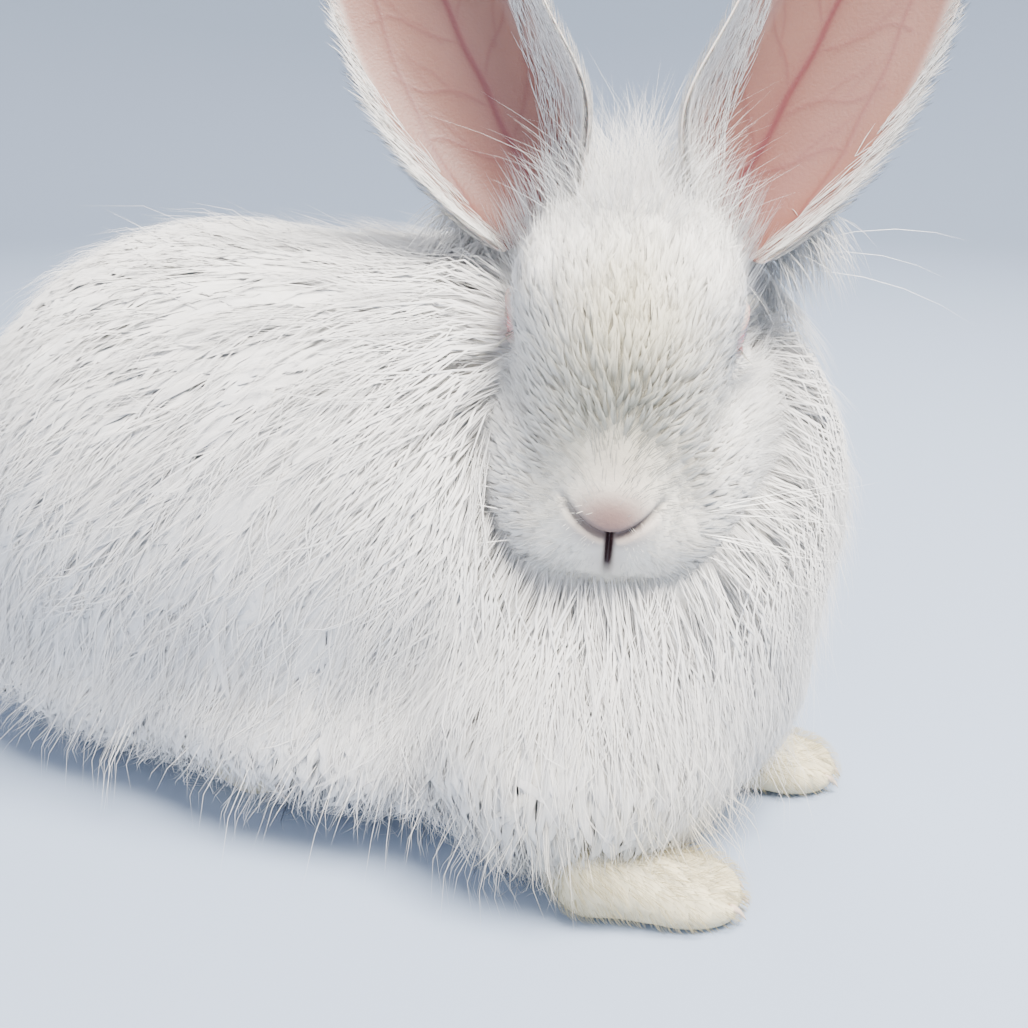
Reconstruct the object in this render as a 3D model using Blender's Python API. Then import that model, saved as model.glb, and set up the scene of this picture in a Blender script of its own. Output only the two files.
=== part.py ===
"""A white angora rabbit, sitting, at life size, as a still model such as a museum shows.

The rabbit faces -Y, its right side is at -X and the floor is z = 0. Its head is turned to its right.
Every soft form is a smooth union of ellipsoids, and its surface is found along rays from one centre.
Lengths are in metres.
"""

import math

import bmesh
import bpy
import numpy as np
from mathutils import Matrix, Vector

# Driving dimensions
BACK_HEIGHT = 0.172
BODY_WIDTH = 0.172
GAP = 0.0003
FLOOR_CLEARANCE = 0.004

# Head: the nose tip's place, and the way the head is turned, from the body's forward direction
NOSE_TIP = Vector((-0.048, -0.116, 0.102))
HEAD_YAW = math.radians(68)
HEAD_PITCH = math.radians(17)
HEAD_ROLL = math.radians(3)

# Ears, from the root on the skull to the tip
EAR_LENGTH = 0.120
EAR_HALF_ARC = 0.0318
EAR_SPLAY = {-1: math.radians(29), 1: math.radians(23)}
EAR_LEAN = math.radians(8)
EAR_THICKNESS = 0.0022
EAR_FLARE = 0.34

# Eyes, set in the sides of the head
EYE_RADIUS = 0.0085
LID_THICKNESS = 0.0014
EYE_CENTRE = (-0.052, 0.0232, 0.030)

# The body's parting plane between neck and torso, from the withers to the front of the chest
PART_TOP = (-0.030, 0.175)
PART_FRONT = (-0.082, 0.000)

# The coat: a core half way out, and locks from it to the outline
CORE_DEPTH = 0.015
LOCK_SPACING = 0.0252
LOCK_LENGTH = 0.066
SHORTEST_SHARE = 0.33
CROWN_TUFTS = 10
CROWN_LENGTH = 0.027
CROWN_HALF_WIDTH = 0.0068
LOCK_HALF_WIDTH = 0.0125
LOCK_THICKNESS = 0.0026
LIE_SOURCE = np.array((-0.020, -0.098, 0.130))
LIE_FALL = 0.85
SEED = 12

# The neck's share of the coat: how far behind the parting plane, at what share of the coat's outline there
CELL_SIDES = 24
CELL_GAP = 0.0008
CELL_RINGS = [(0.000, 0.76), (0.016, 0.90), (0.042, 1.01), (0.052, 1.30), (0.052, 4.0), (-0.40, 4.0)]

# Moves the whole model so that the origin is under the middle of its box
ORIGIN_SHIFT = Vector((0.0006, -0.0006, 0.0))


def blob(centre, radii, tilt=0.0, yaw=0.0):
    """One ellipsoid of a form. Tilt lowers its +X end and yaw turns it about Z, in degrees."""
    turn = Matrix.Rotation(math.radians(yaw), 3, "Z") @ Matrix.Rotation(math.radians(tilt), 3, "Y")
    return np.array(centre, float), np.array(radii, float), np.array(turn)


def mirrored(side, centre, radii, tilt=0.0):
    """The same ellipsoid on the left or the right side."""
    return blob((centre[0], side * centre[1], centre[2]), radii, tilt)


# The coat's outline out to its tips, in the model's axes: across, back, up
COAT_BLEND = 0.004
COAT = [
    blob((0.000, 0.040, 0.079), (BODY_WIDTH / 2, 0.088, BACK_HEIGHT / 2)),
    blob((0.000, 0.062, 0.062), (0.078, 0.086, 0.062)),
    blob((0.000, 0.052, 0.030), (0.082, 0.092, 0.040)),
    blob((0.000, -0.010, 0.078), (0.080, 0.090, 0.086)),
    blob((0.000, -0.018, 0.030), (0.082, 0.098, 0.040)),
    blob((0.020, -0.086, 0.086), (0.040, 0.072, 0.070), 0, 22),
    blob((0.007, -0.088, 0.072), (0.060, 0.068, 0.062)),
    blob((0.004, -0.092, 0.040), (0.062, 0.062, 0.042)),
    blob((-0.030, -0.100, 0.034), (0.047, 0.045, 0.040)),
    blob((0.036, -0.100, 0.036), (0.034, 0.044, 0.038)),
    blob((0.010, -0.066, 0.120), (0.046, 0.044, 0.050)),
    blob((0.030, -0.092, 0.116), (0.030, 0.048, 0.038)),
]
COAT_CENTRE = np.array((0.0, 0.02, 0.09))

# The head, in its own axes: forward from the nose tip, left, up
HEAD_BLEND = 0.0035
HEAD = [
    blob((-0.066, 0, 0.028), (0.036, 0.031, 0.034)),
    blob((-0.048, 0, 0.028), (0.034, 0.028, 0.026)),
    blob((-0.028, 0, 0.008), (0.026, 0.0200, 0.0175), 36),
    blob((-0.0095, 0, -0.0005), (0.0095, 0.0110, 0.0085)),
    blob((-0.0130, 0, -0.0095), (0.0100, 0.0110, 0.0075)),
    blob((-0.0175, 0, -0.0215), (0.0125, 0.0130, 0.0085)),
    blob((-0.066, 0, -0.002), (0.032, 0.033, 0.030)),
    blob((-0.088, 0, 0.014), (0.026, 0.034, 0.034)),
]
for side in (-1, 1):
    HEAD.append(mirrored(side, (-0.0195, 0.0125, -0.0110), (0.0165, 0.0150, 0.0135)))
    HEAD.append(mirrored(side, (-0.042, 0.0200, -0.006), (0.029, 0.0190, 0.023)))
    HEAD.append(mirrored(side, (-0.062, 0.0240, -0.004), (0.029, 0.0190, 0.025)))
    HEAD.append(mirrored(side, (-0.050, 0.0190, 0.0400), (0.017, 0.0100, 0.0110)))
HEAD_CENTRE = np.array((-0.046, 0, 0.010))
HEAD_POLE = np.array((1.0, 0, -0.22))
HEAD_GRID = (26, 28)


def mixed(points, blobs, blend):
    """Signed distance to the smooth union, negative inside: the soft minimum of the ellipsoids' distances."""
    total = np.zeros(len(points))
    for centre, radii, turn in blobs:
        local = (points - centre) @ turn
        near = np.linalg.norm(local / radii, axis=1)
        far = np.linalg.norm(local / radii**2, axis=1)
        total += np.exp(-near * (near - 1) / np.maximum(far, 1e-9) / blend)
    return -blend * np.log(total)


def ray_grid(pole, rings, segments, ease=1.0):
    """Directions of a sphere's grid round the pole, without the two pole points. Ease over 1 packs rings at the pole."""
    pole = np.array(pole) / np.linalg.norm(pole)
    side = np.cross((0.0, 0.01, 1.0), pole)
    side = side / np.linalg.norm(side)
    top = np.cross(pole, side)
    share = (np.arange(1, rings) / rings) ** ease
    polar = math.pi * share[:, None]
    turn = 2 * math.pi * np.arange(segments)[None, :] / segments
    out = (
        np.cos(polar)[..., None] * pole
        + (np.sin(polar) * np.cos(turn))[..., None] * top
        + (np.sin(polar) * np.sin(turn))[..., None] * side
    )
    return np.concatenate((pole[None], out.reshape(-1, 3), -pole[None]))


def grid_faces(rings, segments):
    """Triangles over the points that ray_grid gives. Quads would fold along either diagonal, so each is split here."""
    faces = []
    last = 1 + (rings - 1) * segments
    for j in range(segments):
        k = (j + 1) % segments
        faces.append((0, 1 + j, 1 + k))
        faces.append((last, last - segments + k, last - segments + j))
        for i in range(rings - 2):
            a = 1 + i * segments
            b = a + segments
            faces += [(a + j, b + j, b + k), (a + j, b + k, a + k)]
    return faces


def on_rays(centre, directions, blobs, blend, offset=0.0):
    """The point along each ray where the form's distance is the offset, by halving the span."""
    low = np.zeros(len(directions))
    high = np.full(len(directions), 0.5)
    for _ in range(40):
        middle = (low + high) / 2
        inside = mixed(centre + middle[:, None] * directions, blobs, blend) < offset
        low = np.where(inside, middle, low)
        high = np.where(inside, high, middle)
    return centre + middle[:, None] * directions


def material(name, colour, roughness):
    """A plain finish, for the solids alone."""
    made = bpy.data.materials.new(name)
    made.use_nodes = True
    shader = made.node_tree.nodes["Principled BSDF"]
    shader.inputs["Base Color"].default_value = (*colour, 1)
    shader.inputs["Roughness"].default_value = roughness
    return made


def mesh_object(name, points, faces, finish=None):
    """A mesh object in the scene, with its faces pointing out."""
    mesh = bpy.data.meshes.new(name)
    mesh.from_pydata([tuple(p) for p in points], [], faces)
    work = bmesh.new()
    work.from_mesh(mesh)
    bmesh.ops.recalc_face_normals(work, faces=work.faces)
    work.to_mesh(mesh)
    work.free()
    made = bpy.data.objects.new(name, mesh)
    bpy.context.scene.collection.objects.link(made)
    if finish:
        mesh.materials.append(finish)
        mesh.shade_smooth()
    return made


def form(name, blobs, blend, centre, pole, size, finish=None, offset=0.0, ease=1.0, place=None, floor=None):
    """A closed surface of a smooth union, on a grid of rays, put in its place and flattened where it meets the floor."""
    rings, segments = size
    points = on_rays(centre, ray_grid(pole, rings, segments, ease), blobs, blend, offset)
    if place is not None:
        points = moved(points, place)
    if floor is not None:
        points[:, 2] = np.maximum(points[:, 2], floor)
    return mesh_object(name, points, grid_faces(rings, segments), finish)


def moved(points, place):
    """Points carried by a 4 x 4 matrix."""
    matrix = np.array(place)
    return points @ matrix[:3, :3].T + matrix[:3, 3]


def applied(target):
    """The object with its modifiers made real."""
    graph = bpy.context.evaluated_depsgraph_get()
    mesh = bpy.data.meshes.new_from_object(target.evaluated_get(graph))
    target.modifiers.clear()
    old = target.data
    target.data = mesh
    bpy.data.meshes.remove(old)


def boolean(target, others, operation):
    """Joins the other closed pieces to the target, or cuts them from it, in one go, and removes them."""
    group = bpy.data.collections.new(target.name + "_pieces")
    for other in others:
        bpy.context.scene.collection.objects.unlink(other)
        group.objects.link(other)
    change = target.modifiers.new(operation.title(), "BOOLEAN")
    change.operation = operation
    change.operand_type = "COLLECTION"
    change.collection = group
    change.solver = "MANIFOLD"
    applied(target)
    for other in others:
        bpy.data.objects.remove(other)
    bpy.data.collections.remove(group)
    keep_largest(target)


def keep_largest(target):
    """Drops every closed surface of the mesh but the one with the most volume."""
    work = bmesh.new()
    work.from_mesh(target.data)
    unseen = set(work.verts)
    islands = []
    while unseen:
        stack = [unseen.pop()]
        island = set(stack)
        while stack:
            for edge in stack.pop().link_edges:
                for vert in edge.verts:
                    if vert in unseen:
                        unseen.discard(vert)
                        island.add(vert)
                        stack.append(vert)
        islands.append(island)
    largest = max(islands, key=island_volume)
    bmesh.ops.delete(work, geom=[v for v in work.verts if v not in largest], context="VERTS")
    work.to_mesh(target.data)
    work.free()


def island_volume(island):
    """The volume inside one closed surface, from a fan over each of its faces."""
    total = 0.0
    for face in {f for v in island for f in v.link_faces}:
        first, *rest = [v.co for v in face.verts]
        for a, b in zip(rest, rest[1:]):
            total += first.dot(a.cross(b)) / 6
    return abs(total)


def head_place():
    """Carries the head's own axes, forward, left and up, into the model's."""
    level = Matrix(((0, 1, 0, 0), (-1, 0, 0, 0), (0, 0, 1, 0), (0, 0, 0, 1)))
    yaw = Matrix.Rotation(-HEAD_YAW, 4, "Z")
    pitch = Matrix.Rotation(HEAD_PITCH, 4, "Y")
    roll = Matrix.Rotation(-HEAD_ROLL, 4, "X")
    return Matrix.Translation(NOSE_TIP) @ yaw @ level @ pitch @ roll


def make_head(finish):
    """The skull's form with cheeks, brows, whisker pads, nose and chin."""
    place = head_place()
    head = form("head", HEAD, HEAD_BLEND, HEAD_CENTRE, HEAD_POLE, HEAD_GRID, finish, ease=1.15, place=place)
    lids = [eye_ball(f"lid_{side}", side, EYE_RADIUS + LID_THICKNESS, 20) for side in (-1, 1)]
    boolean(head, lids + crown_tufts(), "UNION")
    cuts = [eye_ball(f"socket_{side}", side, EYE_RADIUS + GAP, 20) for side in (-1, 1)]
    cuts += [eye_opening(side) for side in (-1, 1)]
    cuts += face_cutters()
    boolean(head, cuts, "DIFFERENCE")
    return head


def eye_ball(name, side, radius, segments, finish=None):
    """A ball at the eye's centre."""
    directions = ray_grid((0.0, side, 0.0001), segments // 2, segments)
    centre = np.array((EYE_CENTRE[0], side * EYE_CENTRE[1], EYE_CENTRE[2]))
    points = moved(centre + directions * radius, head_place())
    return mesh_object(name, points, grid_faces(segments // 2, segments), finish)


def eye_opening(side):
    """The almond between the lids, a lens drawn out sideways through the lids alone."""
    half_length, half_height, steps = 0.0078, 0.0042, 6
    across = np.linspace(-1, 1, steps)
    upper = np.stack((across * half_length, half_height * (1 - across**2) + 0.0004), axis=1)
    lower = np.stack((across[::-1] * half_length, -half_height * (1 - across[::-1] ** 2) - 0.0004), axis=1)
    outline = np.concatenate((upper, lower))
    inner, outer = 0.35 * EYE_RADIUS, 2.0 * EYE_RADIUS
    points = []
    for out in (inner, outer):
        for f, u in outline:
            points.append((EYE_CENTRE[0] + f, side * (EYE_CENTRE[1] + out), EYE_CENTRE[2] + u - 0.0005))
    count = len(outline)
    faces = [tuple(range(count)), tuple(range(2 * count - 1, count - 1, -1))]
    faces += [(k, (k + 1) % count, (k + 1) % count + count, k + count) for k in range(count)]
    return mesh_object(f"opening_{side}", moved(np.array(points), head_place()), faces)


def tube(name, route, radius, sides=8, place=None):
    """A closed tube along a route, round, with pointed ends."""
    route = np.array(route, float)
    steps = np.gradient(route, axis=0)
    steps /= np.linalg.norm(steps, axis=1)[:, None]
    aside = np.cross(steps, (0.0, 0.31, 1.0))
    aside /= np.linalg.norm(aside, axis=1)[:, None]
    top = np.cross(steps, aside)
    turn = 2 * math.pi * np.arange(sides) / sides
    points = [route[0] - steps[0] * radius]
    for centre, a, b in zip(route, aside, top):
        points += [centre + radius * (math.cos(t) * a + math.sin(t) * b) for t in turn]
    points.append(route[-1] + steps[-1] * radius)
    points = np.array(points)
    if place is not None:
        points = moved(points, place)
    return mesh_object(name, points, grid_faces(len(route) + 1, sides))


def face_cutters():
    """The nostrils, the cleft of the upper lip and the line of the mouth, as thin tubes that bite into the face."""
    place = head_place()
    cleft = [(0.0017, 0, -0.0012), (0.0012, 0, -0.0065), (0.0002, 0, -0.0120), (-0.0012, 0, -0.0155)]
    cutters = [tube("cleft", cleft, 0.0009, 6, place)]
    turn = np.linspace(-1, 1, 9)
    mouth = np.stack((-0.0016 - 0.0046 * turn**2, 0.0150 * turn, -0.0170 - 0.0036 * turn**2), axis=1)
    cutters.append(tube("mouth", mouth, 0.0012, 6, place))
    for side in (-1, 1):
        slit = [(0.0012, side * 0.0020, 0.0000), (0.0002, side * 0.0062, 0.0014), (-0.0042, side * 0.0108, 0.0040)]
        cutters.append(tube(f"nostril_{side}", slit, 0.0010, 6, place))
    return cutters


def ear_section(along, across, swell):
    """A point of the ear's middle sheet, in the ear's own axes: outwards, to the front, up along the ear.

    A section is an arc, rolled at the root and open towards the tip, with its hollow side to the front. Low down
    its inner half, towards the other ear, flares out.
    """
    rolled = (1 - along) ** 3.0
    bow = math.radians(108) * rolled + math.radians(46) * (1 - rolled)
    widest = 0.40
    if along < widest:
        rise = along / widest
        span = 0.60 + 0.40 * (rise * rise * (3 - 2 * rise)) ** 0.35
    else:
        span = max(1 - ((along - widest) / (1 - widest)) ** 2.1, 0.0) ** (1 / 1.75)
    half = EAR_HALF_ARC * max(span, 0.02)
    radius = half / bow + swell
    angle = across * bow
    forward = half / bow - radius * math.cos(angle)
    sweep = 0.010 * (along - 0.5) ** 2 - 0.0025
    flare = 1 + EAR_FLARE * math.exp(-(((along - 0.16) / 0.17) ** 2)) if across < 0 else 1.0
    return radius * math.sin(angle) * flare, forward + sweep, EAR_LENGTH * along


def make_ear(side, finish, offset=0.0, name=None):
    """A cupped leaf: the same grid on the hollow face and on the back, joined along the rim."""
    rows, columns = 13, 9
    name = name or ("ear_left" if side > 0 else "ear_right")
    points = []
    for layer in (-1, 1):
        for i in range(rows):
            for j in range(columns):
                along = 0.985 * i / (rows - 1)
                across = 2 * j / (columns - 1) - 1
                thin = 1 - 0.45 * abs(across) ** 2 - 0.25 * along
                swell = layer * (EAR_THICKNESS * thin / 2 + offset)
                points.append(ear_section(along, across * (1 + offset / EAR_HALF_ARC), swell))
    faces = []
    back = rows * columns
    for i in range(rows - 1):
        for j in range(columns - 1):
            a, b = i * columns + j, i * columns + j + 1
            c, d = a + columns, b + columns
            faces += [(a, b, d), (a, d, c), (back + a, back + d, back + b), (back + a, back + c, back + d)]
    rim = [j for j in range(columns)]
    rim += [i * columns + columns - 1 for i in range(1, rows)]
    rim += [(rows - 1) * columns + j for j in range(columns - 2, -1, -1)]
    rim += [i * columns for i in range(rows - 2, 0, -1)]
    for a, b in zip(rim, rim[1:] + rim[:1]):
        faces += [(a, back + b, b), (a, back + a, back + b)]
    return mesh_object(name, moved(np.array(points), ear_place(side)), faces, finish)


def ear_place(side):
    """Puts an ear's own axes on the skull, leaning back and splayed outwards."""
    root = Vector((-0.081, side * 0.0230, 0.040))
    to_head = Matrix(((0, 1, 0, 0), (side, 0, 0, 0), (0, 0, 1, 0), (0, 0, 0, 1)))
    upright = Matrix.Rotation(-HEAD_PITCH - EAR_LEAN, 4, "Y")
    splay = Matrix.Rotation(-side * EAR_SPLAY[side], 4, "X")
    face_out = Matrix.Rotation(side * math.radians(12), 4, "Z")
    return head_place() @ Matrix.Translation(root) @ upright @ splay @ face_out @ to_head


# Legs. Each is a paw on the floor and a limb that rises into the coat, in the model's axes from the paw's middle
FORE_BLEND = 0.003
FORE = [
    blob((0, -0.009, 0.0052), (0.0122, 0.0150, 0.0064)),
    blob((0, 0.001, 0.0085), (0.0120, 0.0150, 0.0100)),
    blob((0, 0.014, 0.012), (0.0118, 0.011, 0.0140)),
]
HIND = [
    blob((0, -0.036, 0.0090), (0.0155, 0.024, 0.0115)),
    blob((0, 0.000, 0.0095), (0.0150, 0.046, 0.0125)),
    blob((0, 0.034, 0.016), (0.0165, 0.020, 0.0200)),
    blob((0, 0.022, 0.040), (0.0220, 0.028, 0.028)),
]
for toe in (-1.5, -0.5, 0.5, 1.5):
    FORE.append(blob((0.0062 * toe, -0.0190 + 0.0024 * abs(toe), 0.0046), (0.0040, 0.0092, 0.0047)))
    HIND.append(blob((0.0074 * toe, -0.0540 + 0.0030 * abs(toe), 0.0066), (0.0050, 0.0110, 0.0072)))


def with_forearm(side):
    """A fore paw with its forearm, which rises inwards under the chest."""
    lower = blob((-side * 0.007, 0.016, 0.024), (0.0120, 0.0125, 0.018))
    upper = blob((-side * 0.020, 0.022, 0.036), (0.0130, 0.0130, 0.016))
    return FORE + [lower, upper]


def leg(name, blobs, centre, size, spot, turn, finish=None, offset=0.0):
    """A leg standing at a spot of the floor, its toes turned from straight ahead."""
    place = Matrix.Translation(Vector((*spot, 0))) @ Matrix.Rotation(turn, 4, "Z")
    return form(name, blobs, FORE_BLEND, np.array(centre), (0, -1, 0.0), size, finish, offset, 1.0, place, 0.0)


LEGS = {
    "foreleg_right": (with_forearm(-1), (0, 0.010, 0.022), (14, 16), (-0.050, -0.128), math.radians(30)),
    "foreleg_left": (with_forearm(1), (0, 0.010, 0.022), (14, 16), (0.024, -0.133), math.radians(28)),
    "hindleg_right": (HIND, (0, 0.005, 0.018), (15, 12), (-0.041, 0.046), math.radians(-4)),
    "hindleg_left": (HIND, (0, 0.005, 0.018), (15, 12), (0.041, 0.046), math.radians(4)),
}

TAIL_BLEND = 0.004
TAIL = [
    blob((0, 0.146, 0.052), (0.021, 0.020, 0.024)),
    blob((0, 0.152, 0.070), (0.018, 0.015, 0.024)),
]
TAIL_CENTRE = np.array((0, 0.148, 0.060))


def gradient(points, blobs, blend):
    """The outward direction of the form at points, by central differences."""
    step = 0.0005
    out = np.empty_like(points)
    for axis in range(3):
        shift = np.zeros(3)
        shift[axis] = step
        out[:, axis] = mixed(points + shift, blobs, blend) - mixed(points - shift, blobs, blend)
    return out / np.linalg.norm(out, axis=1)[:, None]


def settled(points, offset, blobs, blend):
    """Points moved along the outward direction to where the form's distance is the offset."""
    for _ in range(4):
        away = mixed(points, blobs, blend) - offset
        points = points - gradient(points, blobs, blend) * away[:, None]
    return points


def lie(points, out, source, fall):
    """The way the coat lies: away from the source along the form, and down."""
    way = points - source
    way = way / np.linalg.norm(way, axis=1)[:, None]
    way[:, 2] -= fall
    way -= out * np.sum(way * out, axis=1)[:, None]
    return way / np.linalg.norm(way, axis=1)[:, None]


def spread(draw, fur, keep):
    """Points spread evenly over the outline: random ones, each at least the spacing from those kept before."""
    way = draw.normal(size=(6000, 3))
    way /= np.linalg.norm(way, axis=1)[:, None]
    points = on_rays(fur["centre"], way, fur["blobs"], fur["blend"])
    points = points[keep(points)]
    kept = []
    for point in points:
        if all(np.sum((point - other) ** 2) > fur["spacing"] ** 2 for other in kept):
            kept.append(point)
    return np.array(kept)


LOCK_SHARE = (0.0, 0.26, 0.52, 0.78, 1.0)
LOCK_RISE = (-0.40, 0.55, 0.82, 0.96, 1.0)
LOCK_WIDTH = (0.80, 1.00, 0.92, 0.62, 0.0)
LOCK_DEPTH = (1.0, 1.0, 0.85, 0.6, 0.0)


def room(starts, fur, lowest):
    """How far each lock can run along the lie, up to its full length, before it comes to the floor."""
    steps = 12
    length = fur["length"]
    far = np.full(len(starts), length)
    points = starts
    for step in range(steps):
        far = np.where(points[:, 2] < lowest, np.minimum(far, length * step / steps), far)
        out = gradient(points, fur["blobs"], fur["blend"])
        points = points + lie(points, out, fur["source"], fur["fall"]) * length / steps
        points = settled(points, 0.0, fur["blobs"], fur["blend"])
    return far


def lock_points(draw, starts, length, fur):
    """The corners of flat, tapered locks: four round the lock at each station, and one at the tip.

    Each lock starts sunk in the core, rises out of it, bends over along the lie and drapes over the form.
    """
    count = len(starts)
    form_of = fur["blobs"], fur["blend"]
    length = length * draw.uniform(0.82, 1.12, count)
    sway = draw.normal(0, 0.16, count)
    bend = draw.normal(0, 0.22, count)
    lift = draw.uniform(0.90, 1.12, count)
    wide = fur["half_width"] * draw.uniform(0.82, 1.15, count)
    centre = starts
    stations = []
    before = 0.0
    for share, rise, width, depth in zip(LOCK_SHARE, LOCK_RISE, LOCK_WIDTH, LOCK_DEPTH):
        out = gradient(centre, *form_of)
        way = lie(centre, out, fur["source"], fur["fall"])
        aside = np.cross(out, way)
        turn = sway + bend * share
        way = way * np.cos(turn)[:, None] + aside * np.sin(turn)[:, None]
        centre = centre + way * (length * (share - before))[:, None]
        before = share
        offset = -fur["core"] * (1 - rise * np.where(rise > 0, lift, 1.0))
        centre = settled(centre, offset, *form_of)
        out = gradient(centre, *form_of)
        aside = np.cross(out, way)
        aside /= np.linalg.norm(aside, axis=1)[:, None]
        if share == 1.0:
            stations.append(centre[:, None])
            break
        left = settled(centre - aside * (wide * width)[:, None], offset - 0.0012, *form_of)
        right = settled(centre + aside * (wide * width)[:, None], offset - 0.0012, *form_of)
        top = centre + out * fur["thickness"] * depth / 2
        under = centre - out * fur["thickness"] * depth / 2
        stations.append(np.stack((left, top, right, under), axis=1))
    return np.concatenate(stations, axis=1)


def lock_faces():
    """Triangles over one lock's corners, split alike on its upper and lower faces so that they never cross."""
    faces = [(0, 2, 1), (0, 3, 2)]
    for k in range(len(LOCK_SHARE) - 2):
        left, top, right, under = (4 * k + j for j in range(4))
        faces += [(left, top, top + 4), (left, top + 4, left + 4)]
        faces += [(top, right, right + 4), (top, right + 4, top + 4)]
        faces += [(right, under, right + 4), (right + 4, under, under + 4)]
        faces += [(under, left, under + 4), (under + 4, left, left + 4)]
    last = 4 * (len(LOCK_SHARE) - 2)
    faces += [(last + j, last + (j + 1) % 4, last + 4) for j in range(4)]
    return faces


def sound(points):
    """Whether a lock's sections follow one another without folding back or turning over."""
    rings = points[:-1].reshape(-1, 4, 3)
    middles = np.concatenate((rings.mean(axis=1), points[-1:]))
    steps = middles[1:] - middles[:-1]
    across = np.cross(rings[:, 2] - rings[:, 0], rings[:, 1] - rings[:, 3])
    forward = np.sum(across * steps, axis=1) / np.linalg.norm(across, axis=1) / np.linalg.norm(steps, axis=1)
    return np.abs(forward).min() > 0.5 and abs(np.sign(forward).sum()) == len(forward)


BODY_FUR = {
    "blobs": COAT, "blend": COAT_BLEND, "centre": COAT_CENTRE, "source": LIE_SOURCE, "fall": LIE_FALL,
    "core": CORE_DEPTH, "spacing": LOCK_SPACING, "length": LOCK_LENGTH,
    "half_width": LOCK_HALF_WIDTH, "thickness": LOCK_THICKNESS,
}
TAIL_FUR = {
    "blobs": TAIL, "blend": TAIL_BLEND, "centre": TAIL_CENTRE, "source": np.array((0, 0.120, 0.040)), "fall": -0.5,
    "core": 0.008, "spacing": 0.0210, "length": 0.030, "half_width": 0.0090, "thickness": 0.0026,
}


def locks(fur, keep_start, keep_lock):
    """Lock objects over a furred form whose points pass the tests, none lower than the coat's clearance of the floor."""
    draw = np.random.default_rng(SEED)
    starts = spread(draw, fur, keep_start)
    lengths = room(starts, fur, FLOOR_CLEARANCE + 0.001)
    enough = lengths > SHORTEST_SHARE * fur["length"]
    corners = lock_points(draw, starts[enough], lengths[enough], fur)
    made = []
    for k, points in enumerate(corners):
        too_low = max(FLOOR_CLEARANCE - points[:, 2].min(), 0)
        if keep_lock(points) and too_low < 0.004 and sound(points):
            made.append(mesh_object(f"lock_{k}", points + (0, 0, too_low), lock_faces()))
    return made


def coat_locks(keep_lock):
    """The locks of body and neck."""
    return locks(BODY_FUR, lambda p: p[:, 2] > 0.016, keep_lock)


def crown_tufts():
    """Loose tufts that lean back and outwards between the ears."""
    draw = np.random.default_rng(SEED)
    made = []
    for k in range(CROWN_TUFTS):
        share = k / (CROWN_TUFTS - 1)
        aside_by = math.sin(2.4 * k)
        root = np.array((-0.056 - 0.034 * share, 0.0090 * aside_by, 0.055 - 0.014 * share))
        way = np.array((-0.15 - 0.75 * share + draw.normal(0, 0.14), 0.36 * aside_by, 1.0))
        way /= np.linalg.norm(way)
        aside = np.cross(way, (1.0, draw.normal(0, 0.5), 0.0))
        aside /= np.linalg.norm(aside)
        out = np.cross(aside, way)
        length = CROWN_LENGTH * draw.uniform(0.55, 1.1)
        points = []
        for along, width, depth in zip(LOCK_SHARE, LOCK_WIDTH, LOCK_DEPTH):
            bow = length * along**2 * np.array((-0.50, 0.30 * aside_by, -0.16))
            centre = root + way * length * along + bow
            if along == 1.0:
                points.append(centre)
                break
            points += [
                centre - aside * CROWN_HALF_WIDTH * width,
                centre + out * 0.0012 * depth,
                centre + aside * CROWN_HALF_WIDTH * width,
                centre - out * 0.0012 * depth,
            ]
        tuft = mesh_object(f"tuft_{k}", moved(np.array(points), head_place()), lock_faces())
        boolean(tuft, [make_ear(side, None, GAP, f"clear_tuft_{side}") for side in (-1, 1)], "DIFFERENCE")
        made.append(tuft)
    return made


def coat_core(name, finish):
    """The core that the locks grow from, half way out to their tips."""
    return form(name, COAT, COAT_BLEND, COAT_CENTRE, (0, 1.0, 0.0), (18, 22), finish, -CORE_DEPTH)


def behind(points):
    """How far points are behind the parting plane between neck and torso."""
    (top_y, top_z), (front_y, front_z) = PART_TOP, PART_FRONT
    normal = np.array((0, top_z - front_z, front_y - top_y))
    normal = normal / np.linalg.norm(normal)
    return (points - np.array((0, top_y, top_z))) @ normal


def clear_head():
    """The head's form with the gap round it, for cutting."""
    return form("clear_head", HEAD, HEAD_BLEND, HEAD_CENTRE, HEAD_POLE, HEAD_GRID, None, GAP, 1.15, head_place())


def neck_cell(name, grow):
    """The neck's share of the coat: a closed body whose back face runs out along the lie, under the neck's locks.

    Each ring lies in a plane behind the parting plane, and follows the coat's outline there, made smaller or larger.
    """
    (top_y, top_z), (front_y, front_z) = PART_TOP, PART_FRONT
    down = np.array((0, front_y - top_y, front_z - top_z))
    down /= np.linalg.norm(down)
    back = np.cross((1.0, 0, 0), down)
    back *= math.copysign(1, back[1])
    middle = np.array((0.0, (top_y + front_y) / 2, (top_z + front_z) / 2))
    turn = 2 * math.pi * np.arange(CELL_SIDES) / CELL_SIDES
    round_way = np.cos(turn)[:, None] * np.array((1.0, 0, 0)) + np.sin(turn)[:, None] * -down
    points = [middle + back * grow]
    for behind_by, share in CELL_RINGS:
        outline = on_rays(middle + back * max(behind_by, 0), round_way, COAT, COAT_BLEND)
        flat = outline - middle - back * max(behind_by, 0)
        points += list(middle + back * (behind_by + grow) + flat * share)
    points.append(middle - back * 0.40)
    return mesh_object(name, np.array(points), grid_faces(len(CELL_RINGS) + 1, CELL_SIDES))


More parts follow.
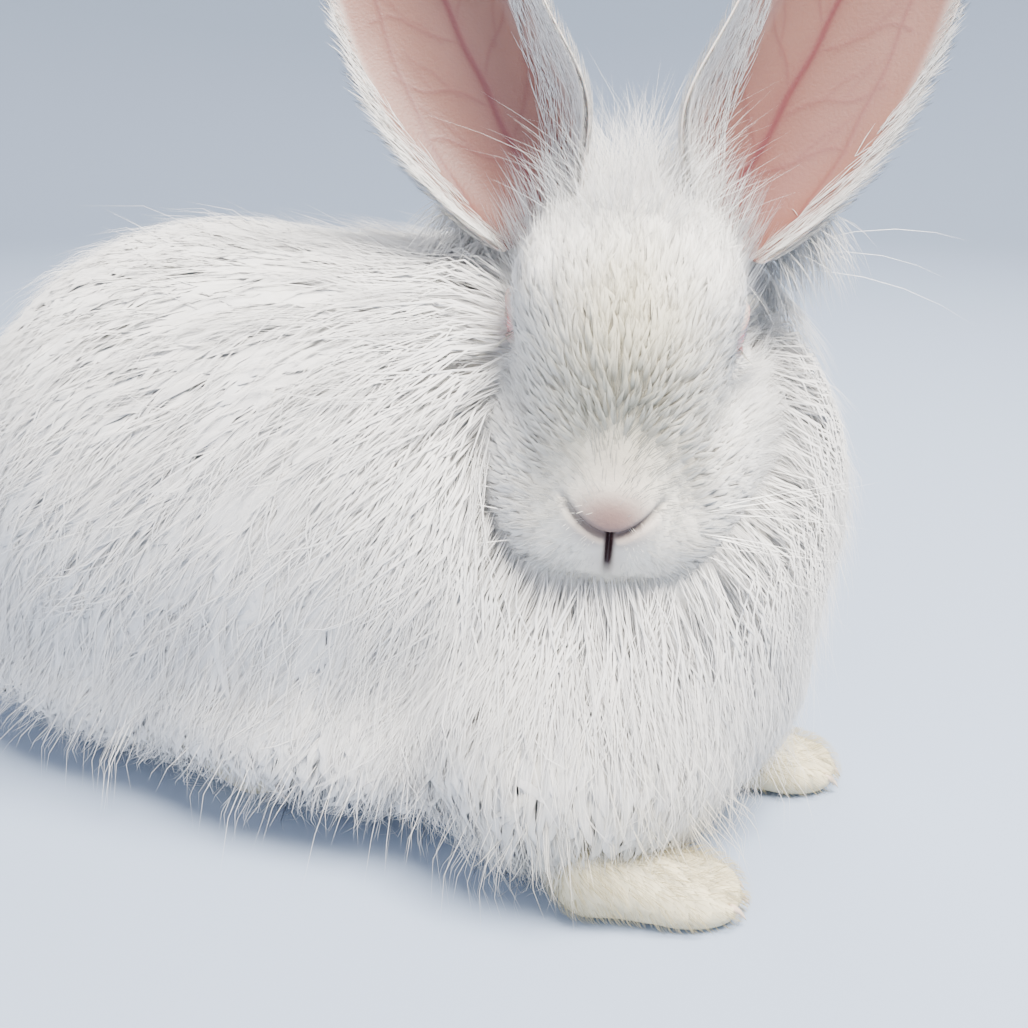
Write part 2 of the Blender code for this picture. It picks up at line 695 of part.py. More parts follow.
def build():
    for old in list(bpy.data.objects):
        bpy.data.objects.remove(old)
    wool = material("wool", (0.86, 0.86, 0.84), 0.9)
    short_fur = material("short_fur", (0.85, 0.84, 0.79), 0.8)
    ear_skin = material("ear_skin", (0.78, 0.58, 0.54), 0.6)
    ruby = material("ruby_eye", (0.55, 0.10, 0.12), 0.1)

    make_head(short_fur)
    for side, word in ((-1, "right"), (1, "left")):
        eye_ball(f"eye_{word}", side, EYE_RADIUS, 16, ruby)
        ear = make_ear(side, ear_skin)
        clear = form("clear", HEAD, HEAD_BLEND, HEAD_CENTRE, HEAD_POLE, HEAD_GRID, None, GAP, 1.15, head_place())
        boolean(ear, [clear], "DIFFERENCE")

    torso = coat_core("torso", wool)
    boolean(torso, coat_locks(lambda p: behind(p).max() > 0), "UNION")
    cuts = [neck_cell("neck_side", CELL_GAP / 2), clear_head()]
    cuts += [leg(f"clear_{name}", *sizes, None, GAP) for name, sizes in LEGS.items()]
    cuts.append(form("clear_tail", TAIL, TAIL_BLEND, TAIL_CENTRE, (0, 0.02, 1.0), (12, 16), None, GAP))
    boolean(torso, cuts, "DIFFERENCE")

    neck = coat_core("neck", wool)
    boolean(neck, coat_locks(lambda p: behind(p).min() < 0.05), "UNION")
    boolean(neck, [neck_cell("neck_part", -CELL_GAP / 2)], "INTERSECT")
    cuts = [eye_ball(f"clear_eye_{side}", side, EYE_RADIUS + LID_THICKNESS + GAP, 16) for side in (-1, 1)]
    cuts.append(clear_head())
    cuts += [make_ear(side, None, GAP, f"clear_ear_{side}") for side in (-1, 1)]
    cuts += [leg(f"clear_{name}", *sizes, None, GAP) for name, sizes in LEGS.items()]
    boolean(neck, cuts, "DIFFERENCE")

    tail = form("tail", TAIL, TAIL_BLEND, TAIL_CENTRE, (0, 0.02, 1.0), (8, 12), wool, -TAIL_FUR["core"])
    boolean(tail, locks(TAIL_FUR, lambda p: p[:, 1] > 0.142, lambda p: True), "UNION")
    for name, sizes in LEGS.items():
        leg(name, *sizes, short_fur)
    for made in bpy.context.scene.objects:
        made.data.transform(Matrix.Translation(ORIGIN_SHIFT))


build()
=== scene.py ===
# %% [markdown]
# # A white angora rabbit, life size
#
# The rabbit lies on its belly on the floor, z = 0. It faces -Y and turns its head to its right.
# Lengths are in metres.
#
# Every soft form here is a smooth union of ellipsoids. One skin follows these forms a little under
# the outline of the coat. The coat is made of tapered hairs, which start on the skin and end at the
# outline, as on the real animal.

# %% Imports and the frame
import math
from collections import namedtuple

import bmesh
import bpy
import numpy as np
from mathutils import Matrix, Vector
from mathutils.kdtree import KDTree


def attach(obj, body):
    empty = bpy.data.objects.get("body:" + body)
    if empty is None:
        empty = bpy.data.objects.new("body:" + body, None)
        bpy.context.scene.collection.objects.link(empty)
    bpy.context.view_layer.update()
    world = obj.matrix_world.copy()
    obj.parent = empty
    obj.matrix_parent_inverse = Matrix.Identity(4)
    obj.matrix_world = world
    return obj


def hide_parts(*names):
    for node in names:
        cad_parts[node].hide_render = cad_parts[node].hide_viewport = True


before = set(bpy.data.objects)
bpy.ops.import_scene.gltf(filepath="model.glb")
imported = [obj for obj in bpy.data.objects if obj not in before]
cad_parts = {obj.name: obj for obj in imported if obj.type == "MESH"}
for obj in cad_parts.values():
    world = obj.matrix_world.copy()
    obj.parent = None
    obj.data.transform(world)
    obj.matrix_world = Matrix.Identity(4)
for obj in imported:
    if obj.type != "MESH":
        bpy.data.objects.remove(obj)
print("nodes:", sorted(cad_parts))
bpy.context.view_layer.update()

# %% [markdown]
# ## Sizes and small helpers
#
# The sizes that shape the animal stand together here, so that one change reaches everything that
# uses it. Surfaces and hairs are arrays of points, which numpy fills in one step. A few helpers
# carry such arrays from one set of axes to another and turn them into meshes.

# %% Named sizes
GROUND = 0.0008
SHIFT = np.array((0.0006, -0.0006, 0.0))
NOSE_TIP = Vector((-0.048, -0.116, 0.102))
HEAD_YAW, HEAD_PITCH, HEAD_ROLL = math.radians(68), math.radians(17), math.radians(3)
SIDES = ((-1, "right"), (1, "left"))
TOES = (-1.5, -0.5, 0.5, 1.5)

EAR_LENGTH = 0.120
EAR_HALF_ARC = 0.0318
EAR_SPLAY = {-1: math.radians(29), 1: math.radians(23)}
EAR_LEAN = math.radians(8)
EAR_THICKNESS = 0.0018
EAR_FLARE = 0.34
EAR_FEET = {side: np.array((-0.081, side * 0.0230, 0.040)) for side in (-1, 1)}

EYE_RADIUS = 0.0085
EYES = {side: np.array((-0.052, side * 0.0232, 0.030)) for side in (-1, 1)}

BODY_SKIN, HEAD_SKIN, LEG_SKIN = 0.0155, 0.0030, 0.0018

BODY_HAIRS = 28600
WOOL_LOCKS = (5200, 11500)
HEM_HAIRS = 2200
HEAD_HAIRS = 22800
HEAD_LOCKS = 6500
LEG_HAIRS = {"fore": 3000, "hind": 1100}
EAR_HAIRS = 5200
BASE_HAIRS = 900
NAPE_HAIRS = 2600
CROWN_HAIRS = 1700
TAIL_HAIRS = 1250
LID_HAIRS = 750
WHISKERS = 36
MOST_IN_A_PIECE = 190000

draw = np.random.default_rng(7)


# %% Helpers for points
def unit(ways):
    """Directions scaled to a length of one."""
    return ways / np.maximum(np.linalg.norm(ways, axis=-1, keepdims=True), 1e-9)


def carried(points, place):
    """Points, in an array of any shape, carried by a 4 x 4 matrix."""
    matrix = np.array(place)
    flat = points.reshape(-1, 3) @ matrix[:3, :3].T + matrix[:3, 3]
    return flat.reshape(points.shape)


def turned(ways, place):
    """Directions turned by a 4 x 4 matrix."""
    return ways @ np.array(place)[:3, :3].T


def bump_at(points, centre, radii, power):
    """A soft hill that is 1 at a centre: exp(-n^power), where n is |(p - centre) / radii|."""
    return np.exp(-(np.linalg.norm((points - centre) / radii, axis=1) ** power))


# %% Helpers for meshes
def grid_quads(rows, columns):
    """Quads over a grid of points, row by row."""
    first = (np.arange(rows - 1)[:, None] * columns + np.arange(columns - 1)[None, :]).ravel()
    return np.stack((first, first + columns, first + columns + 1, first + 1), axis=1)


def mesh_object(name, points, faces, finish):
    """A smooth mesh object with all its faces alike, three or four corners each, set from arrays."""
    mesh = bpy.data.meshes.new(name)
    mesh.vertices.add(len(points))
    mesh.vertices.foreach_set("co", points.astype(np.float32).ravel())
    mesh.loops.add(faces.size)
    mesh.loops.foreach_set("vertex_index", faces.astype(np.int32).ravel())
    mesh.polygons.add(len(faces))
    starts = np.arange(0, faces.size, faces.shape[1], dtype=np.int32)
    mesh.polygons.foreach_set("loop_start", starts)
    mesh.polygons.foreach_set("use_smooth", np.full(len(faces), True))
    mesh.update(calc_edges=True)
    mesh.validate()
    made = bpy.data.objects.new(name, mesh)
    bpy.context.scene.collection.objects.link(made)
    mesh.materials.append(finish)
    return made


def set_map(made, places):
    """The OFBake map, from one place for each point."""
    layer = made.data.uv_layers.new(name="OFBake")
    index = np.empty(len(made.data.loops), np.int32)
    made.data.loops.foreach_get("vertex_index", index)
    layer.data.foreach_set("uv", places[index].astype(np.float32).ravel())


def set_values(made, **values):
    """Numbers for each point, for the materials to read."""
    for name, numbers in values.items():
        layer = made.data.attributes.new(name, "FLOAT", "POINT")
        layer.data.foreach_set("value", numbers.astype(np.float32))


def welded(made):
    """Joins the points of a piece that lie in one place, which closes its seam and its poles."""
    form = bmesh.new()
    form.from_mesh(made.data)
    bmesh.ops.remove_doubles(form, verts=form.verts, dist=1e-7)
    form.to_mesh(made.data)
    print(made.name, "open edges:", sum(edge.is_boundary for edge in form.edges))
    form.free()


# %% [markdown]
# ## Colours and materials
#
# Colours are easy to pick as the hex numbers of a paint program, but Blender's shaders count in
# linear light. One function turns the first into the second. Another adds a shader node and takes
# either a plain value or another node's output for each of its inputs, so that a material reads as
# a short list of layers.


# %% Helpers for materials
def linear(text):
    """The linear colour of an sRGB hex: c / 12.92 under 0.04045, else ((c + 0.055) / 1.055) ** 2.4."""
    values = [int(text[k : k + 2], 16) / 255 for k in (0, 2, 4)]
    return tuple(c / 12.92 if c <= 0.04045 else ((c + 0.055) / 1.055) ** 2.4 for c in values) + (1.0,)


def put(tree, socket, value):
    """Sets an input to a value, or links it to another node's output."""
    if isinstance(value, bpy.types.NodeSocket):
        tree.links.new(value, socket)
    else:
        socket.default_value = value


def node(tree, kind, **values):
    """One shader node with its plain properties, its values and its links."""
    made = tree.nodes.new(kind)
    for key, value in values.items():
        if key in made.inputs:
            put(tree, made.inputs[key], value)
        else:
            setattr(made, key, value)
    return made


def material(name, **values):
    """A material with a Principled BSDF, and its tree and shader."""
    made = bpy.data.materials.new(name)
    made.use_nodes = True
    shader = made.node_tree.nodes["Principled BSDF"]
    for key, value in values.items():
        shader.inputs[key].default_value = value
    return made, made.node_tree, shader


def read(tree, name):
    """The numbers that set_values put on the mesh under a name."""
    return node(tree, "ShaderNodeAttribute", attribute_name=name).outputs["Fac"]


def times(tree, first, second):
    """Two numbers multiplied."""
    made = node(tree, "ShaderNodeMath", operation="MULTIPLY")
    put(tree, made.inputs[0], first)
    put(tree, made.inputs[1], second)
    return made.outputs["Value"]


def blended(tree, share, under, over, clamp=True):
    """Two colours mixed: at share 0 the one under, at share 1 the one over."""
    made = node(tree, "ShaderNodeMix", data_type="RGBA", clamp_factor=clamp)
    made_values = {"Factor": share, "A": under, "B": over}
    for key, value in made_values.items():
        put(tree, made.inputs[key], value)
    return made.outputs["Result"]


def speckle(tree, scale, detail):
    """Soft noise over the object, from 0 to 1."""
    place = node(tree, "ShaderNodeTexCoord").outputs["Object"]
    return node(tree, "ShaderNodeTexNoise", Vector=place, Scale=scale, Detail=detail).outputs["Fac"]


def roughen(tree, shader, height, strength, distance):
    """Fine relief in the way the surface takes the light."""
    bump = node(tree, "ShaderNodeBump", Height=height, Strength=strength, Distance=distance)
    put(tree, shader.inputs["Normal"], bump.outputs["Normal"])


# %% [markdown]
# ## The forms
#
# Under its coat a rabbit is a few rounded masses that run into each other without edges. Each mass
# could be sculpted by hand. Here it is an ellipsoid, and a smooth union melts neighbours together,
# because then the whole outline is a short list of sizes. The distance to that union also tells
# every hair where the outline lies and which way is out.


# %% The union and what can be asked of it
def blob(centre, radii, tilt=0.0, yaw=0.0):
    """One ellipsoid of a form. Tilt lowers its +X end and yaw turns it about Z, in degrees."""
    turn = Matrix.Rotation(math.radians(yaw), 3, "Z") @ Matrix.Rotation(math.radians(tilt), 3, "Y")
    return np.array(centre, float), np.array(radii, float), np.array(turn)


Form = namedtuple("Form", "blobs blend centre pole grid depth place share")


def distance(points, form):
    """Signed distance: -blend * log(sum(exp(-d / blend))), d = n (n - 1) / |p / r^2|, n = |p / r|."""
    total = np.zeros(len(points))
    for centre, radii, turn in form.blobs:
        local = (points - centre) @ turn
        near = np.linalg.norm(local / radii, axis=1)
        far = np.linalg.norm(local / radii**2, axis=1)
        total += np.exp(-near * (near - 1) / np.maximum(far, 1e-9) / form.blend)
    return -form.blend * np.log(np.maximum(total, 1e-300))


def outward(points, form):
    """The outward direction at points, from the distance half a millimetre to either side."""
    out = np.empty_like(points)
    for axis in range(3):
        shift = np.zeros(3)
        shift[axis] = 0.0005
        out[:, axis] = distance(points + shift, form) - distance(points - shift, form)
    return unit(out)


def settled(points, offset, form):
    """Points moved along the outward direction to where the distance is the offset."""
    for _ in range(3):
        away = distance(points, form) - offset
        points = points - outward(points, form) * away[:, None]
    return points


def on_rays(ways, form, offset):
    """The point along each ray from the centre where the distance is the offset, by halving the span."""
    centre = np.array(form.centre)
    low = np.zeros(len(ways))
    high = np.full(len(ways), 0.3)
    for _ in range(24):
        middle = (low + high) / 2
        inside = distance(centre + middle[:, None] * ways, form) < offset
        low = np.where(inside, middle, low)
        high = np.where(inside, high, middle)
    return centre + middle[:, None] * ways


# %% Body, head and tail
BODY_BLOBS = [
    blob((0.000, 0.040, 0.079), (0.086, 0.088, 0.086)),
    blob((0.000, 0.062, 0.062), (0.078, 0.086, 0.062)),
    blob((0.000, 0.052, 0.030), (0.082, 0.092, 0.040)),
    blob((0.000, -0.010, 0.078), (0.080, 0.090, 0.086)),
    blob((0.000, -0.018, 0.030), (0.082, 0.098, 0.040)),
    blob((0.020, -0.086, 0.086), (0.040, 0.072, 0.070), 0, 22),
    blob((0.007, -0.088, 0.072), (0.060, 0.068, 0.062)),
    blob((0.004, -0.092, 0.040), (0.062, 0.062, 0.042)),
    blob((-0.030, -0.100, 0.034), (0.047, 0.045, 0.040)),
    blob((0.036, -0.100, 0.036), (0.034, 0.044, 0.038)),
    blob((0.010, -0.066, 0.120), (0.046, 0.044, 0.050)),
    blob((0.030, -0.092, 0.116), (0.030, 0.048, 0.038)),
]
# The head's own axes run forward, left and up from the tip of the nose
HEAD_BLOBS = [
    blob((-0.066, 0, 0.028), (0.036, 0.031, 0.034)),
    blob((-0.048, 0, 0.028), (0.034, 0.028, 0.026)),
    blob((-0.028, 0, 0.008), (0.026, 0.0200, 0.0175), 36),
    blob((-0.0275, 0, 0.0185), (0.0210, 0.0210, 0.0136), 48),
    blob((-0.0095, 0, -0.0005), (0.0095, 0.0110, 0.0085)),
    blob((-0.0130, 0, -0.0095), (0.0100, 0.0110, 0.0075)),
    blob((-0.0175, 0, -0.0215), (0.0125, 0.0130, 0.0085)),
    blob((-0.066, 0, -0.002), (0.032, 0.033, 0.030)),
    blob((-0.088, 0, 0.014), (0.026, 0.034, 0.034)),
]
for side in (-1, 1):
    HEAD_BLOBS += [
        blob((-0.0195, side * 0.0125, -0.0110), (0.0165, 0.0150, 0.0135)),
        blob((-0.042, side * 0.0200, -0.006), (0.029, 0.0190, 0.023)),
        blob((-0.062, side * 0.0240, -0.004), (0.029, 0.0190, 0.025)),
        blob((-0.050, side * 0.0190, 0.0400), (0.017, 0.0100, 0.0110)),
    ]
TAIL_BLOBS = [
    blob((0, 0.146, 0.052), (0.021, 0.020, 0.024)),
    blob((0, 0.152, 0.070), (0.018, 0.015, 0.024)),
]


# %% Legs, and where each form stands
def fore_paw(side):
    """A fore paw, its forearm and its four toes, in the paw's own axes."""
    blobs = [
        blob((0, -0.009, 0.0052), (0.0122, 0.0150, 0.0064)),
        blob((0, 0.001, 0.0085), (0.0120, 0.0150, 0.0100)),
        blob((0, 0.014, 0.012), (0.0118, 0.011, 0.0140)),
        blob((-side * 0.007, 0.016, 0.024), (0.0120, 0.0125, 0.018)),
        blob((-side * 0.020, 0.022, 0.036), (0.0130, 0.0130, 0.016)),
    ]
    for toe in TOES:
        spot = (0.0062 * toe, -0.0190 + 0.0024 * abs(toe), 0.0046)
        blobs.append(blob(spot, (0.0040, 0.0092, 0.0047)))
    return blobs


def hind_foot():
    """A long hind foot, its hock and its toes."""
    blobs = [
        blob((0, -0.036, 0.0090), (0.0155, 0.024, 0.0115)),
        blob((0, 0.000, 0.0095), (0.0150, 0.046, 0.0125)),
        blob((0, 0.034, 0.016), (0.0165, 0.020, 0.0200)),
        blob((0, 0.022, 0.040), (0.0220, 0.028, 0.028)),
    ]
    for toe in TOES:
        spot = (0.0074 * toe, -0.0540 + 0.0030 * abs(toe), 0.0066)
        blobs.append(blob(spot, (0.0050, 0.0110, 0.0072)))
    return blobs


def head_place():
    """Carries the head's own axes into the model's."""
    level = Matrix(((0, 1, 0, 0), (-1, 0, 0, 0), (0, 0, 1, 0), (0, 0, 0, 1)))
    yaw = Matrix.Rotation(-HEAD_YAW, 4, "Z")
    pitch = Matrix.Rotation(HEAD_PITCH, 4, "Y")
    roll = Matrix.Rotation(-HEAD_ROLL, 4, "X")
    return Matrix.Translation(NOSE_TIP + Vector(SHIFT)) @ yaw @ level @ pitch @ roll


def leg_form(blobs, centre, segments, spot, toes_out, share):
    """A leg that stands at a spot of the floor, its toes turned from straight ahead, in degrees."""
    turn = Matrix.Rotation(math.radians(toes_out), 4, "Z")
    place = Matrix.Translation(Vector((*spot, 0)) + Vector(SHIFT)) @ turn
    return Form(blobs, 0.003, centre, (0, -1, 0), (60, segments), LEG_SKIN, place, share)


HEAD_PLACE = head_place()
BODY_PLACE = Matrix.Translation(Vector(SHIFT))
FORE_CENTRE, HIND_CENTRE = (0, 0.010, 0.022), (0, 0.005, 0.018)
BODY = Form(
    BODY_BLOBS, 0.004, (0, 0.02, 0.09), (0, 1.0, 0), (150, 200), BODY_SKIN, BODY_PLACE,
    (0.01, 0.01, 0.58, 0.58),
)
HEAD = Form(
    HEAD_BLOBS, 0.0035, (-0.046, 0, 0.010), (1.0, 0, -0.22), (222, 248), HEAD_SKIN, HEAD_PLACE,
    (0.61, 0.01, 0.98, 0.5),
)
TAIL = Form(
    TAIL_BLOBS, 0.004, (0, 0.148, 0.060), (0, 0.02, 1.0), (24, 32), 0.007, BODY_PLACE,
    (0.61, 0.53, 0.75, 0.66),
)
LEGS = {
    "foreleg_right": leg_form(
        fore_paw(-1), FORE_CENTRE, 64, (-0.050, -0.128), 30, (0.01, 0.61, 0.19, 0.79)
    ),
    "foreleg_left": leg_form(
        fore_paw(1), FORE_CENTRE, 64, (0.024, -0.133), 28, (0.21, 0.61, 0.39, 0.79)
    ),
    "hindleg_right": leg_form(
        hind_foot(), HIND_CENTRE, 48, (-0.041, 0.046), -4, (0.01, 0.81, 0.19, 0.99)
    ),
    "hindleg_left": leg_form(
        hind_foot(), HIND_CENTRE, 48, (0.041, 0.046), 4, (0.21, 0.81, 0.39, 0.99)
    ),
}
FORMS = {"body": BODY, "head": HEAD, "tail": TAIL, **LEGS}
print("forms:", {name: len(form.blobs) for name, form in FORMS.items()})

# %% [markdown]
# ## Wrapping a form
#
# A skin over a round form is laid out like the lines of a globe. Rings run round a pole, and each
# point of a ring is pushed out along its ray until it meets the form. The pole goes where the
# detail is, at the nose for the head, because the rings are closest together there. The same
# angles give every point its place in the OFBake map, in a share of the map for each form.

# %% Rings round a pole
EASE = 1.25


def pole_axes(pole):
    """The pole's direction and two directions square to it."""
    pole = np.array(pole, float) / np.linalg.norm(pole)
    aside = np.cross((0.0, 0.01, 1.0), pole)
    aside /= np.linalg.norm(aside)
    return pole, np.cross(pole, aside), aside


def ray_ways(form):
    """Ways of a globe's grid: angle pi * (i / rings) ** EASE from the pole, 2 pi j / segments round it."""
    pole, top, aside = pole_axes(form.pole)
    rings, segments = form.grid
    polar = math.pi * (np.linspace(0.0002, 0.9998, rings)[:, None]) ** EASE
    turn = 2 * math.pi * np.arange(segments + 1)[None, :] / segments
    ways = (
        np.cos(polar)[..., None] * pole
        + (np.sin(polar) * np.cos(turn))[..., None] * top
        + (np.sin(polar) * np.sin(turn))[..., None] * aside
    )
    return ways.reshape(-1, 3)


def bake_place(form, local):
    """Places in the OFBake map: the angles of points round the form's pole, in the form's share."""
    pole, top, aside = pole_axes(form.pole)
    way = local - np.array(form.centre)
    way /= np.linalg.norm(way, axis=1)[:, None]
    polar = np.arccos(np.clip(way @ pole, -1, 1)) / math.pi
    turn = np.arctan2(way @ aside, way @ top) / (2 * math.pi) % 1.0
    u0, v0, u1, v1 = form.share
    return np.stack((u0 + (u1 - u0) * turn, v0 + (v1 - v0) * polar ** (1 / EASE)), axis=1)


# %% [markdown]
# ## The face
#
# A rabbit's nose is a soft V: two slits that rise to the sides, with a cleft that runs down through
# the upper lip to the mouth. Cut edges would look like a mask. So each line presses the skin in
# with a round groove, and the same lines say where the nose is pink, where the slits get painted
# shade and where no hair grows.


# %% Lines of the face, in the head's own axes
def line_gap(points, route):
    """The least distance from points to a broken line."""
    best = np.full(len(points), 9.0)
    for start, end in zip(route[:-1], route[1:]):
        along = end - start
        share = np.clip((points - start) @ along / (along @ along), 0, 1)
        best = np.minimum(best, np.linalg.norm(points - start - share[:, None] * along, axis=1))
    return best


def face_lines():
    """Two nostrils and two sides of the mouth as curves of t from 0 to 1, and the cleft."""
    lines = {"nostril": [], "mouth": []}
    t = np.linspace(0, 1, 9)
    for side in (-1, 1):
        nostril = (0.0012 - 0.0085 * t**2, side * (0.0010 + 0.0125 * t), -0.0004 + 0.0055 * t**1.6)
        mouth = (-0.0016 - 0.0046 * t**2, side * 0.0150 * t, -0.0170 - 0.0036 * t**2)
        lines["nostril"].append(np.stack(nostril, axis=1))
        lines["mouth"].append(np.stack(mouth, axis=1))
    cleft = [(0.0016, 0, -0.0008), (0.0012, 0, -0.0065), (0.0002, 0, -0.0120), (-0.0012, 0, -0.0165)]
    lines["cleft"] = [np.array(cleft)]
    return lines


LINES = face_lines()


def gap_to(points, *names):
    """The least distance from points to the face's lines of these names."""
    return np.minimum.reduce([line_gap(points, route) for name in names for route in LINES[name]])


def face_depth(local):
    """How deep the face is pressed in, how near it is to its lines, which sets their painted shade, and to
    the nose, from 0 to 1.
    """
    nostrils, mouth, cleft = (gap_to(local, name) for name in ("nostril", "mouth", "cleft"))
    depth = 0.0024 * np.exp(-((nostrils / 0.0012) ** 2))
    depth += 0.0034 * np.exp(-((cleft / 0.0011) ** 2))
    depth += 0.0022 * np.exp(-((mouth / 0.0013) ** 2))
    # Painted shade: nearness to the nostrils, the mouth and the cleft darkens the skin there, as the shade
    # inside the slits
    lines = np.exp(-((nostrils / 0.0013) ** 2))
    lines = np.maximum(0.50 * lines, 0.6 * np.exp(-((mouth / 0.0014) ** 2)))
    lines = np.maximum(lines, 1.8 * np.exp(-((cleft / 0.0011) ** 2)))
    pad = bump_at(local, (0.001, 0, 0.0040), (0.0110, 0.0125, 0.0082), 3)
    lip = bump_at(local, (0.001, 0, -0.0075), (0.0080, 0.0050, 0.0075), 3)
    bridge = bump_at(local, (-0.008, 0, 0.010), (0.013, 0.0095, 0.010), 2.5)
    nose = np.maximum(np.maximum(0.9 * pad, 0.30 * lip), 0.34 * bridge)
    return depth, lines, nose


def face_cream(local):
    """How cream the face is, from 0 to 1: most in the middle between the eyes and the nose."""
    middle = np.exp(-(((local[:, 0] + 0.020) / 0.019) ** 2) - (local[:, 1] / 0.019) ** 2)
    return 0.07 + 0.70 * middle


def eye_gap(points):
    """The distance to the nearer eye's centre, in the head's axes."""
    return np.minimum(*(np.linalg.norm(points - EYES[side], axis=1) for side in (-1, 1)))


# %% [markdown]
# ## The skin
#
# Under white fur the skin is pale, with a dusty pink pad at the nose, painted shade in its slits and
# pink round the eyes that is darkened with the painted shade of their creases. It is one object,
# made of every form's globe, so that body, head and legs share one finish. Each globe is sunk a
# little under the outline to leave room for the coat, and less so at the chest and the nose, where
# the coat is thin.

# %% Points of the skin, form by form
skin_points, skin_faces, skin_places = [], [], []
skin_marks = {"lines": [], "nose": [], "eye": [], "cream": []}
form_skins = {}
count = 0
for form_name, form in FORMS.items():
    local = on_rays(ray_ways(form), form, -form.depth)
    marks = {key: np.zeros(len(local)) for key in skin_marks}
    marks["cream"] = np.full(len(local), 0.9 if form_name in LEGS else 0.15)
    if form is BODY:
        front = np.clip((-0.040 - local[:, 1]) / 0.04, 0, 1)
        local = settled(local, -form.depth * (1 - 0.45 * front), form)
    if form is HEAD:
        near_nose = np.exp(-((np.linalg.norm(local - (-0.004, 0, -0.004), axis=1) / 0.020) ** 2))
        local = settled(local, -form.depth * (1 - 0.85 * near_nose), form)
        pressed, marks["lines"], marks["nose"] = face_depth(local)
        marks["cream"] = face_cream(local)
        local = local - outward(local, form) * pressed[:, None]
        # Pink skin round the eyes, grey-pink and darker also as painted shade of the eyes' creases
        marks["eye"] = np.exp(-((eye_gap(local) / 0.0125) ** 4))
    rings, segments = form.grid
    quads = grid_quads(rings, segments + 1)
    form_skins[form_name] = (local, quads)
    # Each pole becomes one point, and the last column of the grid the first one
    shell = carried(local, form.place)
    shell[:, 2] = np.maximum(shell[:, 2], GROUND)
    shell = shell.reshape(rings, segments + 1, 3)
    shell[0], shell[-1] = shell[0].mean(axis=0), shell[-1].mean(axis=0)
    shell[:, -1] = shell[:, 0]
    places = bake_place(form, local).reshape(rings, segments + 1, 2)
    places[:, -1, 0] = form.share[2]
    skin_points.append(shell.reshape(-1, 3))
    skin_faces.append(quads[:, ::-1] + count)
    skin_places.append(places.reshape(-1, 2))
    for key, values in marks.items():
        skin_marks[key].append(values)
    count += len(local)
print("skin points:", count)


# %% The skin's finish and the piece
def skin_material():
    """Pale, slightly uneven skin: dusty pink at the nose, pink eye rims with painted crease shade, painted
    shade in the face's lines.
    """
    made, tree, shader = material("animal_skin", Roughness=0.55)
    colour = blended(tree, speckle(tree, 60.0, 2.0), linear("DEDAD5"), linear("E8E5E1"))
    # Painted shade: the eye mark adds the shade of the eyes' creases to their pink rims, and the lines mark
    # darkens the slits, the cleft and the mouth line
    for mark, over in (("cream", "CDC29E"), ("nose", "5C342E"), ("eye", "B88F88"), ("lines", "2C1216")):
        colour = blended(tree, read(tree, mark), colour, linear(over))
    put(tree, shader.inputs["Base Color"], colour)
    roughen(tree, shader, speckle(tree, 900.0, 3.0), 0.35, 0.0004)
    return made


skin = mesh_object("skin", np.concatenate(skin_points), np.concatenate(skin_faces), skin_material())
set_map(skin, np.concatenate(skin_places))
set_values(skin, **{key: np.concatenate(values) for key, values in skin_marks.items()})
welded(skin)
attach(skin, "root")
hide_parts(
    "head", "neck", "torso", "tail", "foreleg_right", "foreleg_left", "hindleg_right", "hindleg_left"
)
print("skin faces:", len(skin.data.polygons))


# %% [markdown]
# ## The finish of hair
#
# White hair is never one white. Each hair has its own tint, is a little deeper at its root, where
# less light reaches, and turns cream on the paws and the bridge of the nose. A soft sheen gives the
# haze that wool has. Broad locks also get fine furrows along their length, so that one lock passes
# for many hairs side by side.


# %% Three hair materials
def hair_material(name, light, deep, warm, roughness, strands=0.0):
    """Hair from deep to light by its tint and along its length. Strands is how many furrows a lock has."""
    made, tree, shader = material(name, Roughness=roughness)
    shader.inputs["Specular IOR Level"].default_value = 0.12
    shader.inputs["Sheen Weight"].default_value = 0.16
    tint, along = read(tree, "tint"), read(tree, "along")
    root = node(tree, "ShaderNodeMapRange", Value=along)
    root.inputs["From Max"].default_value = 0.45
    root.inputs["To Min"].default_value = 0.5
    tone = blended(tree, times(tree, root.outputs["Result"], tint), linear(deep), linear(light))
    colour = blended(tree, read(tree, "warmth"), tone, linear(warm))
    put(tree, shader.inputs["Base Color"], colour)
    if strands:
        number = times(tree, tint, 97.0)
        place = node(tree, "ShaderNodeCombineXYZ", X=read(tree, "across"), Y=along, Z=number)
        stretch = node(tree, "ShaderNodeVectorMath", operation="MULTIPLY")
        put(tree, stretch.inputs[0], place.outputs["Vector"])
        put(tree, stretch.inputs[1], (strands, 1.6, 1.0))
        stretched = stretch.outputs["Vector"]
        furrows = node(tree, "ShaderNodeTexNoise", Vector=stretched, Scale=1.0, Detail=2.0)
        roughen(tree, shader, furrows.outputs["Fac"], 0.20, 0.0005)
    return made


wool = hair_material("hair_long", "DBDAD9", "CFCDCB", "B1A684", 0.65)
# The short fur's warm cream is dark enough that at 0.9 on the paws it is partly painted shade by the floor
short_fur = hair_material("hair_short", "DBDAD9", "CFCCC8", "9B8F66", 0.65)
lock_wool = hair_material("hair_lock", "DAD9D8", "CDCBC9", "B5AC8B", 0.6, 9.0)
print("hair materials:", wool.name, short_fur.name, lock_wool.name)

# %% [markdown]
# ## Growing hairs
#
# Blender's own hair would be gone in other programs, so every hair here is a small closed mesh.
# Roots are spread evenly over the skin. A few of them get a guide, a path that follows the lie of
# the coat and rises from the skin to the outline. The other hairs copy the nearest guide and lean
# to it at the tip, and that is how real fur gathers in tufts.


